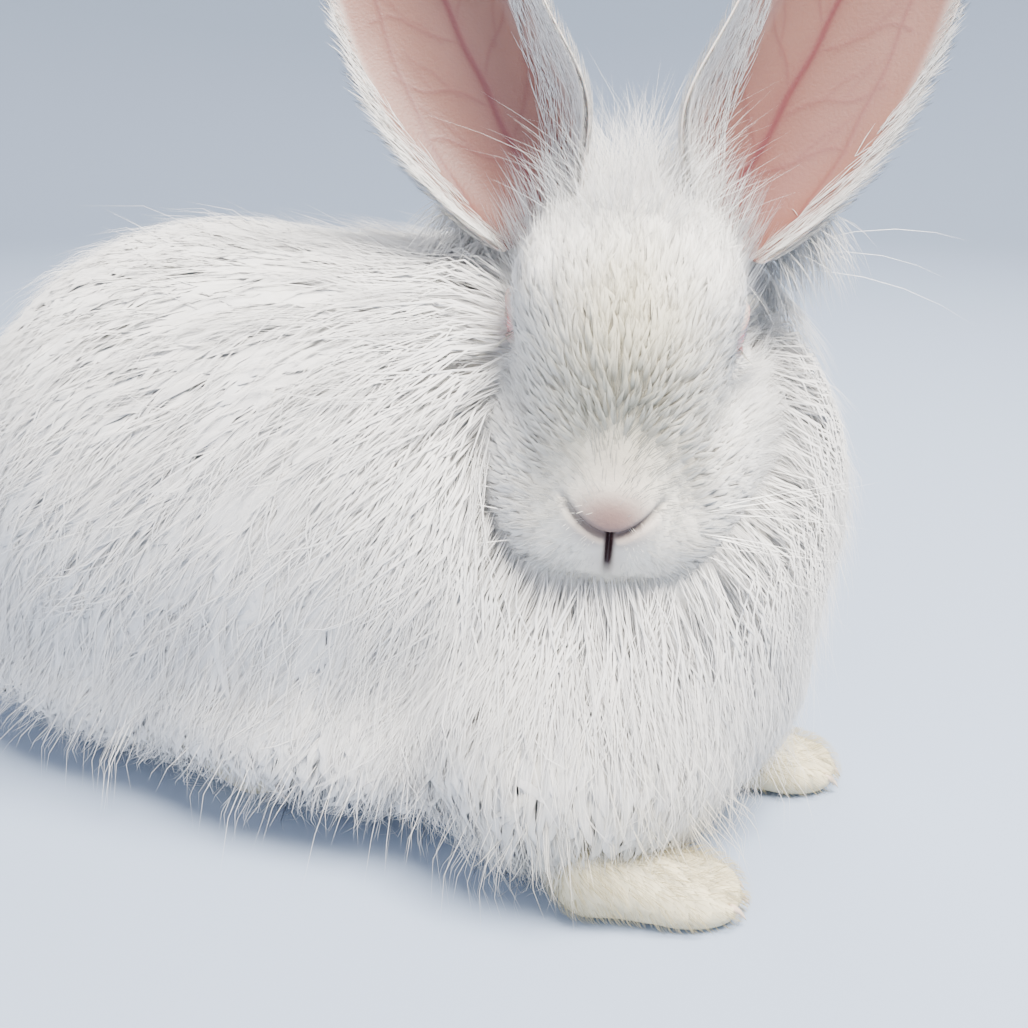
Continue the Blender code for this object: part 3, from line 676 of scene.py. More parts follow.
# %% Roots, guides and the hairs between them
def sampled(points, quads, amount):
    """Points spread over quads by area, as shares of each quad's own corners."""
    corners = points[quads]
    edges = corners[:, 1:] - corners[:, :1]
    area = np.linalg.norm(np.cross(edges[:, 0], edges[:, 1]), axis=1)
    area = area + np.linalg.norm(np.cross(edges[:, 1], edges[:, 2]), axis=1)
    chosen = draw.choice(len(quads), amount, p=area / area.sum())
    a, b = draw.uniform(size=(2, amount, 1))
    four = corners[chosen]
    return (four[:, 0] * (1 - a) + four[:, 1] * a) * (1 - b) + (four[:, 3] * (1 - a) + four[:, 2] * a) * b


def lie(points, out, source, fall, islands=()):
    """The way the coat lies: away from the source along the form and down, and round the islands."""
    way = unit(points - source) + np.array(fall)
    for island in islands:
        off = points - island
        gap = np.linalg.norm(off, axis=1)
        off = unit(off - out * np.sum(off * out, axis=1)[:, None])
        way = way + off * (2.6 * np.exp(-((gap / 0.0135) ** 4)))[:, None]
    way -= out * np.sum(way * out, axis=1)[:, None]
    return unit(way)


def guides(roots, form, lengths, shares, offsets, source, fall, sway, islands=()):
    """Paths along the lie: at each share of its length a path is at that offset from the outline."""
    turn = draw.normal(0, sway, len(roots))
    bend = draw.normal(0, sway * 1.3, len(roots))
    centre = roots
    path = [centre]
    for before, share, offset in zip(shares[:-1], shares[1:], offsets[1:]):
        out = outward(centre, form)
        way = lie(centre, out, source, fall, islands)
        angle = turn + bend * share
        way = way * np.cos(angle)[:, None] + np.cross(out, way) * np.sin(angle)[:, None]
        centre = settled(centre + way * (lengths * (share - before))[:, None], offset, form)
        path.append(centre)
    return np.stack(path, axis=1)


def hairs_from(roots, guide_roots, paths, clump, scales, stray):
    """Hairs that follow the nearest guide. Their distance from it shrinks by 1 - clump u^1.4."""
    tree = KDTree(len(guide_roots))
    for index, place in enumerate(guide_roots):
        tree.insert(place, index)
    tree.balance()
    nearest = np.array([tree.find(root)[1] for root in roots])
    last = paths.shape[1] - 1
    share = np.linspace(0, 1, last + 1)[None, :] * scales[:, None]
    cell = np.minimum((share * last).astype(int), last - 1)
    part = (share * last - cell)[..., None]
    rows = nearest[:, None]
    along = paths[rows, cell] * (1 - part) + paths[rows, cell + 1] * part
    own = (roots - guide_roots[nearest])[:, None] * (1 - clump[:, None] * share**1.4)[..., None]
    wild = draw.normal(size=(len(roots), 1, 3)) * (stray[:, None] * share**1.6)[..., None]
    return along + own + wild, nearest


def flyaway(amount, share, usual, far, most):
    """How far each hair strays at its tip: most of them a little, a share of them far."""
    stray = np.where(draw.uniform(size=amount) < share, far, usual)
    return np.minimum(stray * np.abs(draw.normal(1, 0.35, amount)), most)


def bowed(roots, ways, bow, reach, stations):
    """Hairs of their own, without a guide: root + (way u + bow u^2) reach."""
    step = np.linspace(0, 1, stations)[None, :, None]
    return roots[:, None] + (ways[:, None] * step + bow * step**2) * reach[:, None, None]


# %% Hairs as closed meshes
def hair_faces(stations):
    """The triangles of one hair: three sides between its rings, a tip and a lid at the root."""
    faces = []
    for k in range(stations - 2):
        for j in range(3):
            a, b = 3 * k + j, 3 * k + (j + 1) % 3
            faces += [(a, b + 3, b), (a, a + 3, b + 3)]
    last, tip = 3 * (stations - 2), 3 * (stations - 1)
    faces += [(last, tip, last + 1), (last + 1, tip, last + 2), (last + 2, tip, last)]
    return np.array(faces + [(0, 1, 2)])


def hair_pieces(name, slot_name, finish, paths, widths, places, values, out, taper=1.7, flat=0.5, soft=0.75):
    """Closed tapered hairs, three sides each, in pieces of at most MOST_IN_A_PIECE triangles.

    Half the width at u is width (1 - u^taper) (0.55 + 0.45 min(u / 0.3, 1)). The flat side faces the
    outward direction of the root, and the normals lean to it by the soft share, so that the coat
    takes light as one soft body. Every hair maps to a small patch of OFBake.
    """
    straight = np.diff(paths, axis=1)
    reach = np.linalg.norm(straight, axis=2)
    straight /= np.maximum(reach, 1e-9)[..., None]
    # A hair that turns back on itself or jumps is left out
    fine = np.sum(straight[:, 1:] * straight[:, :-1], axis=2).min(axis=1) > 0.35
    fine &= reach.max(axis=1) < 0.035
    paths, widths, places, out = paths[fine], widths[fine], places[fine], out[fine]
    values = {key: numbers[fine] for key, numbers in values.items()}
    amount, stations, _ = paths.shape
    steps = unit(np.gradient(paths, axis=1))
    aside = unit(np.cross(steps, out[:, None]))
    top = np.cross(aside, steps)
    share = np.linspace(0, 1, stations)
    width = ((1 - share**taper) * (0.55 + 0.45 * np.minimum(share / 0.3, 1)))[None, :, None, None]
    width = width * widths[:, None, None, None]
    turn = 2 * math.pi * (np.arange(3) / 3 + 0.25)
    ring = (
        np.cos(turn)[None, None, :, None] * aside[:, :, None]
        + flat * np.sin(turn)[None, None, :, None] * top[:, :, None]
    )[:, :-1]
    rings = (paths[:, :-1, None] + ring * width[:, :-1]).reshape(amount, -1, 3)
    points = np.concatenate((rings, paths[:, -1:]), axis=1)
    points[..., 2] = np.maximum(points[..., 2], GROUND)
    own = ring / np.linalg.norm(ring, axis=3)[..., None]
    normals = ((1 - soft) * own + soft * top[:, :-1, None]).reshape(amount, -1, 3)
    normals = np.concatenate((normals, top[:, -1:]), axis=1)
    per = points.shape[1]
    faces = hair_faces(stations)
    along = np.concatenate((np.repeat(share[:-1], 3), [1.0]))
    across = np.concatenate((np.tile(np.cos(turn), stations - 1), [0.0]))
    patch = np.stack((across / 2, along - 0.5), axis=1) * 0.003
    most = MOST_IN_A_PIECE // len(faces)
    for number, start in enumerate(range(0, amount, most)):
        chosen = slice(start, min(start + most, amount))
        size = chosen.stop - start
        index = faces[None] + (np.arange(size) * per)[:, None, None]
        piece_name = f"{name}_{number + 1}"
        piece = mesh_object(piece_name, points[chosen].reshape(-1, 3), index.reshape(-1, 3), finish)
        piece.data.normals_split_custom_set_from_vertices(normals[chosen].reshape(-1, 3))
        spots = np.clip(places[chosen, None] + patch[None], 0.001, 0.999)
        set_map(piece, spots.reshape(-1, 2))
        set_values(piece, along=np.tile(along, size), across=np.tile(across, size))
        set_values(piece, **{key: np.repeat(numbers[chosen], per) for key, numbers in values.items()})
        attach(piece, "root")
    low, high = points.reshape(-1, 3).min(axis=0), points.reshape(-1, 3).max(axis=0)
    print(name, "hairs:", amount, "triangles:", amount * len(faces), low.round(4), high.round(4))


def lay(name, slot_name, finish, form, roots, paths, widths, tint, warmth, out, place=None, **shape):
    """Lays hairs that start on a form. Widths and tints may be a (low, high) to draw each one from."""
    amount = len(roots)
    widths = draw.uniform(*widths, amount) if isinstance(widths, tuple) else widths
    tint = draw.uniform(*tint, amount) if isinstance(tint, tuple) else tint
    values = {"tint": tint, "warmth": np.broadcast_to(warmth, amount)}
    if place is None:
        paths = paths + SHIFT
    else:
        paths, out = carried(paths, place), turned(out, place)
    hair_pieces(name, slot_name, finish, paths, widths, bake_place(form, roots), values, out, **shape)


# %% [markdown]
# ## The long coat
#
# Angora wool lies back and down from the shoulders like a mantle. It is made in three layers: long
# fine hairs that carry the outline, broad soft locks deep under them, and narrower locks between.
# The deep locks keep the skin from showing through and cost few triangles. Hairs stand closer
# round the head, where the eye goes first.

# %% Where the coat runs, and how cream it is
LIE_SOURCE = np.array((-0.020, -0.098, 0.130))
BODY_FALL = (0, 0, -0.85)
NEAR_PAW = np.array((-0.052, -0.128, 0.020))
TO_HEAD = np.linalg.inv(np.array(HEAD_PLACE))
body_skin = form_skins["body"]


def head_distance(roots):
    """Distance from points of the body to the head's outline."""
    return distance(carried(roots + SHIFT, TO_HEAD), HEAD)


def coat_warmth(roots):
    """How cream the long coat is: a trace everywhere, and 0.7 exp(-(d / 0.032)^2) over the near forepaw."""
    return 0.06 + 0.70 * np.exp(-((np.linalg.norm(roots - NEAR_PAW, axis=1) / 0.032) ** 2))


def coat_roots(amount, floor_gap, head_gap):
    """Roots over the body, off the floor and the head: close by the head three for every one elsewhere."""
    spots = sampled(*body_skin, amount * 4)
    gap = head_distance(spots)
    wanted = 0.34 + 0.66 * np.clip(1.25 - gap / 0.024, 0, 1)
    keep = (spots[:, 2] > floor_gap) & (gap > head_gap) & (draw.uniform(size=len(spots)) < wanted)
    return spots[keep][:amount]


# %% The long hairs
roots = coat_roots(BODY_HAIRS, 0.008, -0.005)
guide_roots = roots[draw.choice(len(roots), 3000, replace=False)]
front = np.clip((-0.045 - guide_roots[:, 1]) / 0.05, 0, 1)
lengths = 0.062 * draw.uniform(0.8, 1.2, len(guide_roots)) * (1 - 0.30 * front)
lift = np.clip(1 - head_distance(guide_roots) / 0.030, 0, 1)
offsets = (-BODY_SKIN, -0.0058 + 0.0040 * lift, -0.0010 + 0.0008 * lift, 0.0012)
paths = guides(guide_roots, BODY, lengths, (0, 0.22, 0.58, 1.0), offsets, LIE_SOURCE, BODY_FALL, 0.18)
scales = draw.uniform(0.66, 1.0, len(roots))
loose = flyaway(len(roots), 0.10, 0.0021, 0.0048, 0.0060)
clump = draw.uniform(0.0, 0.6, len(roots))
hair_paths, nearest = hairs_from(roots, guide_roots, paths, clump, scales, loose)
clump_tint = draw.uniform(0.55, 1.0, len(guide_roots))
tints = np.clip(clump_tint[nearest] + draw.normal(0, 0.12, len(roots)), 0, 1)
order = np.argsort(roots[:, 1])
lay(
    "coat_body", "wool", wool, BODY, roots[order], hair_paths[order], (0.00008, 0.00018), tints[order],
    coat_warmth(roots)[order], outward(roots, BODY)[order],
)

# %% The wool between: deep broad locks, then narrow ones over them
Layer = namedtuple("Layer", "amount reach half_widths offsets")
LAYERS = (
    Layer(WOOL_LOCKS[0], 0.050, (0.0027, 0.0045), (-0.0150, -0.0048, -0.0031, -0.0037)),
    Layer(WOOL_LOCKS[1], 0.044, (0.00020, 0.00046), (-0.0110, -0.0036, -0.0016, -0.0016)),
)
for number, layer in enumerate(LAYERS):
    if number:
        roots = coat_roots(layer.amount, 0.010, -0.003)
    else:
        roots = sampled(*body_skin, layer.amount * 2)
        roots = roots[(roots[:, 2] > 0.034) & (head_distance(roots) > 0.002)][: layer.amount]
    height = roots[:, 2]
    lengths = layer.reach * draw.uniform(0.7, 1.25, len(roots)) * np.clip(height / 0.060, 0.45, 1)
    offsets = list(layer.offsets)
    if number:
        offsets[1] = offsets[1] + 0.0040 * np.clip(1 - head_distance(roots) / 0.030, 0, 1)
    paths = guides(roots, BODY, lengths, (0, 0.28, 0.64, 1.0), offsets, LIE_SOURCE, BODY_FALL, 0.20)
    widths = draw.uniform(*layer.half_widths, len(roots)) * np.clip(height / 0.085, 0.45, 1)
    lay(
        f"coat_wool_{number + 1}", "wool", lock_wool, BODY, roots, paths, widths, (0.5, 1.0),
        coat_warmth(roots), outward(roots, BODY), taper=2.2, flat=0.22,
    )

# %% [markdown]
# ## The hem
#
# Where the wool reaches the floor it ends in wisps that splay out. Hairs that merely stopped at the
# floor would look cut. So these start low on the flanks, hang in small tufts of their own length,
# and lean outwards as they land.

# %% Wisps along the hem
TUFTS = 360
roots = sampled(*body_skin, HEM_HAIRS * 14)
out = outward(roots, BODY)
low = (roots[:, 2] > 0.010) & (roots[:, 2] < 0.034) & (out[:, 2] < 0.35)
roots, out = roots[low][:HEM_HAIRS], out[low][:HEM_HAIRS]
flat_out = unit(out * (1, 1, 0))
back_way = lie(roots, out, LIE_SOURCE, BODY_FALL)
tuft = np.floor(roots[:, 0] * 160) * 7 + np.floor(roots[:, 1] * 160)
tuft = (tuft.astype(int) + draw.integers(0, 2, len(roots))) % TUFTS
tuft_way = draw.normal(0, 1, (TUFTS, 3))
tuft_drop = draw.uniform(0.35, 1.02, TUFTS)
surface = settled(roots, -0.0030, BODY)
drop = surface[:, 2] * np.clip(tuft_drop[tuft] + draw.normal(0, 0.10, len(roots)), 0.2, 1.02)
splay = 0.0030 + 0.0070 * draw.uniform(size=len(roots)) ** 2
tips = surface + flat_out * splay[:, None] + back_way * (0.014, 0.014, 0.0)
tips = tips + 0.0050 * tuft_way[tuft] * (1, 1, 0)
tips += draw.normal(0, 0.0012, (len(roots), 3))
tips[:, 2] = surface[:, 2] - drop
tips[:, 0] = np.clip(tips[:, 0], -0.0960, 0.0975)
waist = 0.5 * surface + 0.5 * tips + flat_out * 0.0030
paths = np.stack((roots, 0.35 * roots + 0.65 * surface, waist, tips), axis=1)
lay(
    "coat_hem", "wool", wool, BODY, roots, paths, (0.00007, 0.00016), (0.5, 1.0), coat_warmth(roots), out
)

# %% [markdown]
# ## The head's coat
#
# On the head the fur is short. It starts as down at the nose, runs back over the cheeks and the
# brow, parts round the eyes, and grows to soft ruffs at the cheeks. Its length is a function of the
# distance from the nose, because that is how it changes on the animal. The nose, the slits and the
# eyes stay bare. Small soft locks lie under the hairs and close the gaps between them.

# %% Fur of the head
NOSE_SOURCE = np.array((0.012, 0, 0.004))
HEAD_SHARES = (0, 0.3, 0.65, 1.0)
roots = sampled(*form_skins["head"], int(HEAD_HAIRS * 1.4))
nose_near = face_depth(roots)[2]
inside_body = distance(carried(roots, HEAD_PLACE) - SHIFT, BODY) < -0.016
over_cleft = (np.abs(roots[:, 1]) < 0.0030) & (roots[:, 0] > -0.006)
over_cleft &= (roots[:, 2] < 0.002) & (roots[:, 2] > -0.018)
lines_gap = gap_to(roots, "nostril", "mouth", "cleft")
clear = (eye_gap(roots) > 0.0096) & (lines_gap > 0.0018) & ~over_cleft & ~inside_body
roots = roots[clear & (draw.uniform(size=len(roots)) > nose_near * 1.15)][:HEAD_HAIRS]
guide_roots = roots[draw.choice(len(roots), 5200, replace=False)]
from_nose = np.linalg.norm(guide_roots, axis=1)
LENGTH_AT = (0.0, 0.008, 0.016, 0.03, 0.055, 0.075, 0.10)
LENGTHS = (0.0008, 0.0022, 0.0050, 0.009, 0.015, 0.028, 0.036)
lengths = np.interp(from_nose, LENGTH_AT, LENGTHS)
lengths *= draw.uniform(0.8, 1.2, len(guide_roots)) * np.clip((eye_gap(guide_roots) - 0.004) / 0.018, 0.25, 1)
lengths *= np.clip(gap_to(guide_roots, "nostril", "mouth", "cleft") / 0.008, 0.18, 1)
near = np.interp(from_nose, (0.0, 0.015, 0.04), (0.15, 0.4, 1.0))
cheek = np.clip((np.abs(guide_roots[:, 1]) - 0.014) / 0.012, 0, 1)
cheek *= np.clip((0.028 - guide_roots[:, 2]) / 0.02, 0, 1)
lengths *= 1 + 0.45 * cheek * np.clip((from_nose - 0.025) / 0.02, 0, 1)
proud = np.interp(from_nose, (0.0, 0.05, 0.08, 0.11), (0.0003, 0.0004, 0.0020, 0.0040))
proud += 0.0085 * cheek * np.clip((from_nose - 0.032) / 0.03, 0, 1)
offsets = (0, -0.0024 * near, -0.0006 * near + 0.4 * proud, proud)
eyes = tuple(EYES.values())
paths = guides(guide_roots, HEAD, lengths, HEAD_SHARES, offsets, NOSE_SOURCE, (0, 0, 0), 0.14, eyes)
scales = draw.uniform(0.7, 1.0, len(roots))
from_nose = np.linalg.norm(roots, axis=1)
loose = np.interp(from_nose, (0.0, 0.02, 0.055, 0.10), (0.0001, 0.0004, 0.0014, 0.0034))
clump = draw.uniform(0.0, 0.22, len(roots))
hair_paths, nearest = hairs_from(roots, guide_roots, paths, clump, scales, loose)
clump_tint = draw.uniform(0.55, 1.0, len(guide_roots))
widths = np.interp(from_nose, (0.0, 0.02, 0.05, 0.09), (0.00006, 0.00011, 0.00012, 0.00017))
widths = widths * draw.uniform(0.8, 1.2, len(roots))
tints = np.clip(clump_tint[nearest] + draw.normal(0, 0.1, len(roots)), 0, 1)
lay(
    "coat_head", "short_fur", short_fur, HEAD, roots, hair_paths, widths, tints, face_cream(roots),
    outward(roots, HEAD), HEAD_PLACE,
)

# %% Small soft locks under the head's hair
roots = roots[draw.choice(len(roots), HEAD_LOCKS, replace=False)]
roots = roots[np.linalg.norm(roots, axis=1) > 0.024]
from_nose = np.linalg.norm(roots, axis=1)
lengths = np.interp(from_nose, (0.02, 0.055, 0.08, 0.11), (0.005, 0.011, 0.022, 0.030))
lengths *= draw.uniform(0.7, 1.1, len(roots)) * np.clip((eye_gap(roots) - 0.004) / 0.018, 0.25, 1)
offsets = (-HEAD_SKIN, -0.0018, -0.0011, -0.0010)
paths = guides(roots, HEAD, lengths, HEAD_SHARES, offsets, NOSE_SOURCE, (0, 0, 0), 0.14, eyes)
widths = np.interp(from_nose, (0.02, 0.06, 0.10), (0.0007, 0.0011, 0.0015))
lay(
    "coat_head_locks", "short_fur", lock_wool, HEAD, roots, paths,
    widths * draw.uniform(0.8, 1.2, len(roots)), (0.5, 1.0), face_cream(roots), outward(roots, HEAD),
    HEAD_PLACE, taper=2.2, flat=0.25,
)

# %% [markdown]
# ## The nape and the tail
#
# Behind the ears long fur falls over the back of the skull onto the shoulders and hides where head
# and body meet. Its guides need one form to follow, so the ellipsoids of the head are carried into
# the body's axes and joined with the coat's. The tail is a tuft that lies up against the rump.


# %% The nape
def with_strays(paths, share, usual, far, most):
    """Paths whose ends stray by a random step times u^1.8."""
    steps = draw.normal(0, 1, (len(paths), 1, 3))
    steps = steps * flyaway(len(paths), share, usual, far, most)[:, None, None]
    return paths + steps * (np.linspace(0, 1, paths.shape[1])[None, :, None] ** 1.8)


to_body = Matrix.Translation(-Vector(SHIFT)) @ HEAD_PLACE
nape_blobs = list(BODY_BLOBS)
for centre, radii, turn in HEAD_BLOBS:
    nape_blobs.append((carried(centre, to_body), radii, np.array(to_body)[:3, :3] @ turn))
NAPE = BODY._replace(blobs=nape_blobs, blend=0.006)
roots = sampled(*form_skins["head"], NAPE_HAIRS * 12)
roots = roots[(roots[:, 0] < -0.078) & (roots[:, 2] < 0.044)]
ear_gap = np.minimum(*(np.linalg.norm(roots - foot, axis=1) for foot in EAR_FEET.values()))
spots = carried(roots, to_body)
keep = (distance(spots, BODY) > -0.010) & (ear_gap > 0.009)
roots, spots = roots[keep][:NAPE_HAIRS], spots[keep][:NAPE_HAIRS]
lengths = 0.040 * draw.uniform(0.6, 1.15, len(roots))
source = carried(np.array((-0.060, 0.0, 0.062)), to_body)
offsets = (0, -0.0005, 0.0008, 0.0012, 0.0018)
paths = guides(spots, NAPE, lengths, (0, 0.2, 0.45, 0.72, 1.0), offsets, source, (0.1, 0.2, -0.7), 0.24)
paths = with_strays(paths, 0.15, 0.0014, 0.0034, 0.0050)
lay(
    "coat_nape", "wool", wool, HEAD, roots, paths, (0.00011, 0.00024), (0.6, 1.0), 0.05,
    outward(spots, NAPE),
)

# %% [markdown]
# ## Feet and legs
#
# The paws have very short dense fur that runs to the toes. It is cream from the hay that the animal
# lives on, and the cream is also darker as painted shade of the paws low by the floor. Two or three
# stations to a hair are enough at this length.

# %% Fur of the legs
for form_name, form in LEGS.items():
    amount = LEG_HAIRS[form_name[:4]]
    roots = sampled(*form_skins[form_name], amount * 2)
    roots = roots[roots[:, 2] > 0.003][:amount]
    lengths = np.interp(roots[:, 2], (0.0, 0.012, 0.03), (0.0035, 0.0050, 0.0090))
    lengths = lengths * draw.uniform(0.7, 1.2, len(roots))
    offsets = (-form.depth, -0.0005, 0.0003)
    source = np.array((0, 0.05, 0.05))
    paths = guides(roots, form, lengths, (0, 0.4, 1.0), offsets, source, (0, -0.3, -0.3), 0.12)
    # Cream at 0.9: the hay stain, darkened also as painted shade of the paws low by the floor
    lay(
        f"coat_{form_name}", "short_fur", short_fur, form, roots, paths, (0.00008, 0.00015), (0.5, 1.0),
        0.9, outward(roots, form), form.place,
    )

# %% [markdown]
# ## The ears
#
# A rabbit's ear is a thin leaf of gristle and skin. It is rolled into a tube at the root and opens
# to a shallow bowl, bare inside with veins that show through, and furred on its back. A flat plane
# bent with modifiers would not roll up so evenly. So the leaf is a function: an arc in each cross
# section, whose angle and length change with the height.


# %% The leaf
def ear_place(side):
    """Puts an ear's own axes on the skull, leaning back and splayed outwards."""
    to_head_axes = Matrix(((0, 1, 0, 0), (side, 0, 0, 0), (0, 0, 1, 0), (0, 0, 0, 1)))
    upright = Matrix.Rotation(-HEAD_PITCH - EAR_LEAN, 4, "Y")
    splay = Matrix.Rotation(-side * EAR_SPLAY[side], 4, "X")
    face_out = Matrix.Rotation(side * math.radians(12), 4, "Z")
    foot = Matrix.Translation(Vector(EAR_FEET[side]))
    return HEAD_PLACE @ foot @ upright @ splay @ face_out @ to_head_axes


def ear_sheet(along, across, swell=0.0):
    """The leaf: an arc of half angle bow and radius half / bow + swell, rolled at the root and open above."""
    rolled = (1 - along) ** 3.0
    bow = math.radians(108) * rolled + math.radians(46) * (1 - rolled)
    rise = np.clip(along / 0.40, 0, 1)
    low = 0.60 + 0.40 * (rise * rise * (3 - 2 * rise)) ** 0.35
    high = np.maximum(1 - (np.clip((along - 0.40) / 0.60, 0, 1)) ** 2.1, 0.0) ** (1 / 1.75)
    half = EAR_HALF_ARC * np.maximum(np.where(along < 0.40, low, high), 0.02)
    radius = half / bow + swell
    angle = across * bow
    forward = half / bow - radius * np.cos(angle) + 0.010 * (along - 0.5) ** 2 - 0.0025
    flare = np.where(across < 0, 1 + EAR_FLARE * np.exp(-(((along - 0.16) / 0.17) ** 2)), 1.0)
    return np.stack((radius * np.sin(angle) * flare, forward, EAR_LENGTH * along), axis=-1)


# %% Veins
def vein_lines():
    """Veins as lines of (across, along): a main one, one by each rim, and branches that fork."""
    height = np.linspace(0.0, 0.92, 40)
    middle = -0.06 + 0.05 * np.sin(3.0 * height) + 0.01 * np.sin(31 * height)
    inner = -0.62 + 0.16 * height + 0.012 * np.sin(23 * height)
    outer = 0.70 - 0.18 * height + 0.012 * np.sin(27 * height)
    lines = [(np.stack((middle, height), axis=1), 1.0)]
    for rim in (inner, outer):
        lines.append((np.stack((rim, height * 0.95), axis=1), 0.42))
    step = np.linspace(0, 1, 20)
    for k in range(11):
        side = 1 if k % 2 else -1
        wave = 0.020 * np.sin(8 * step + 1.7 * k) * step
        branch = (-0.04 + side * 0.72 * step**1.1, 0.06 + 0.074 * k + 0.17 * step**0.8 + wave)
        route = np.stack(branch, axis=1)
        lines.append((route, 0.34))
        for fork, reach, weight in ((6, 0.34, 0.24), (11, 0.24, 0.18)):
            twig_along = route[fork, 1] + 0.15 * step**1.3 + 0.010 * np.sin(9 * step + k)
            lines.append((np.stack((route[fork, 0] + side * reach * step, twig_along), axis=1), weight))
    return lines


def vein_share(across, along):
    """How much of a vein shows, from 0 to 1: a core of weight w, exp(-(gap / width)^2), in a wider glow."""
    shown = np.zeros(len(across))
    points = np.stack((across * EAR_HALF_ARC, along * EAR_LENGTH, 0 * along), axis=1)
    for route, weight in vein_lines():
        line = np.stack((route[:, 0] * EAR_HALF_ARC, route[:, 1] * EAR_LENGTH, 0 * route[:, 0]), axis=1)
        gap = line_gap(points, line)
        core = weight * np.exp(-((gap / (0.00030 + 0.00045 * weight)) ** 2))
        glow = 0.35 * weight * np.exp(-((gap / (0.0012 + 0.0016 * weight)) ** 2))
        shown = np.maximum(shown, core + glow)
    return np.minimum(shown, 1)


def ear_material():
    """Thin ear skin: beige pink with light inside it, redder along the veins and in the cup, pale rims."""
    made, tree, shader = material("ear_skin", Roughness=0.5)
    colour = blended(tree, speckle(tree, 45.0, 4.0), linear("70493E"), linear("845C4E"))
    for mark, over in (("cup", "6C3632"), ("veins", "5C1C23"), ("rim", "D6CEC6")):
        colour = blended(tree, read(tree, mark), colour, linear(over))
    put(tree, shader.inputs["Base Color"], colour)
    shader.inputs["Subsurface Weight"].default_value = 0.25
    shader.inputs["Subsurface Radius"].default_value = (0.004, 0.0015, 0.001)
    roughen(tree, shader, speckle(tree, 1200.0, 2.0), 0.3, 0.0003)
    return made


# %% The two ears and their fur
EAR_ROWS, EAR_COLUMNS = 212, 120
EAR_MAP = {-1: 0.61, 1: 0.80}


def ear_map(side, along, across):
    """Places of the leaf's inner face in the OFBake map. The outer face lies 0.095 to its right."""
    return np.stack((EAR_MAP[side] + 0.09 * (across + 1) / 2, 0.70 + 0.28 * along), axis=1)


def make_ear(side, word, finish):
    """One ear: an inner and an outer face, joined by walls along the rim."""
    heights, arcs = np.linspace(0, 0.985, EAR_ROWS), np.linspace(-1, 1, EAR_COLUMNS)
    along, across = (values.ravel() for values in np.meshgrid(heights, arcs, indexing="ij"))
    thin = 1 - 0.72 * np.abs(across) ** 3 - 0.20 * along
    veins = vein_share(across, along)
    inner = ear_sheet(along, across, -EAR_THICKNESS * thin / 2 - 0.0002 * veins)
    outer = ear_sheet(along, across, EAR_THICKNESS * thin / 2)
    quads = grid_quads(EAR_ROWS, EAR_COLUMNS)
    size = EAR_ROWS * EAR_COLUMNS
    grid = np.arange(size).reshape(EAR_ROWS, EAR_COLUMNS)
    rim_line = np.concatenate((grid[0, :], grid[1:, -1], grid[-1, -2::-1], grid[-2:0:-1, 0]))
    after = np.roll(rim_line, -1)
    walls = np.stack((rim_line, after, after + size, rim_line + size), axis=1)
    faces = np.concatenate((quads, quads[:, ::-1] + size, walls))[:, ::-side]
    points = carried(np.concatenate((inner, outer)), ear_place(side))
    ear = mesh_object(f"ear_sheet_{word}", points, faces, finish)
    spots = ear_map(side, along, across)
    set_map(ear, np.concatenate((spots, spots + np.array((0.095, 0)))))
    edge = 0.8 * np.clip((np.abs(across) - 0.84) / 0.15, 0, 1) ** 1.5 + np.clip((along - 0.94) / 0.05, 0, 1)
    edge += 0.75 * np.clip((-across - 0.45) / 0.35, 0, 1) * np.clip(1.25 - along / 0.55, 0, 1)
    cup = np.clip(1 - along / 0.55, 0, 1) ** 1.5 * 0.75 * np.exp(-((across / 0.8) ** 2))
    set_values(
        ear,
        veins=np.concatenate((veins * 0.8, veins * 0)),
        cup=np.concatenate((cup, cup * 0)),
        rim=np.concatenate((np.clip(edge, 0, 1), np.ones(size))),
    )
    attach(ear, "root")
    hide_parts(f"ear_{word}")
    print(ear.name, "faces:", len(faces))


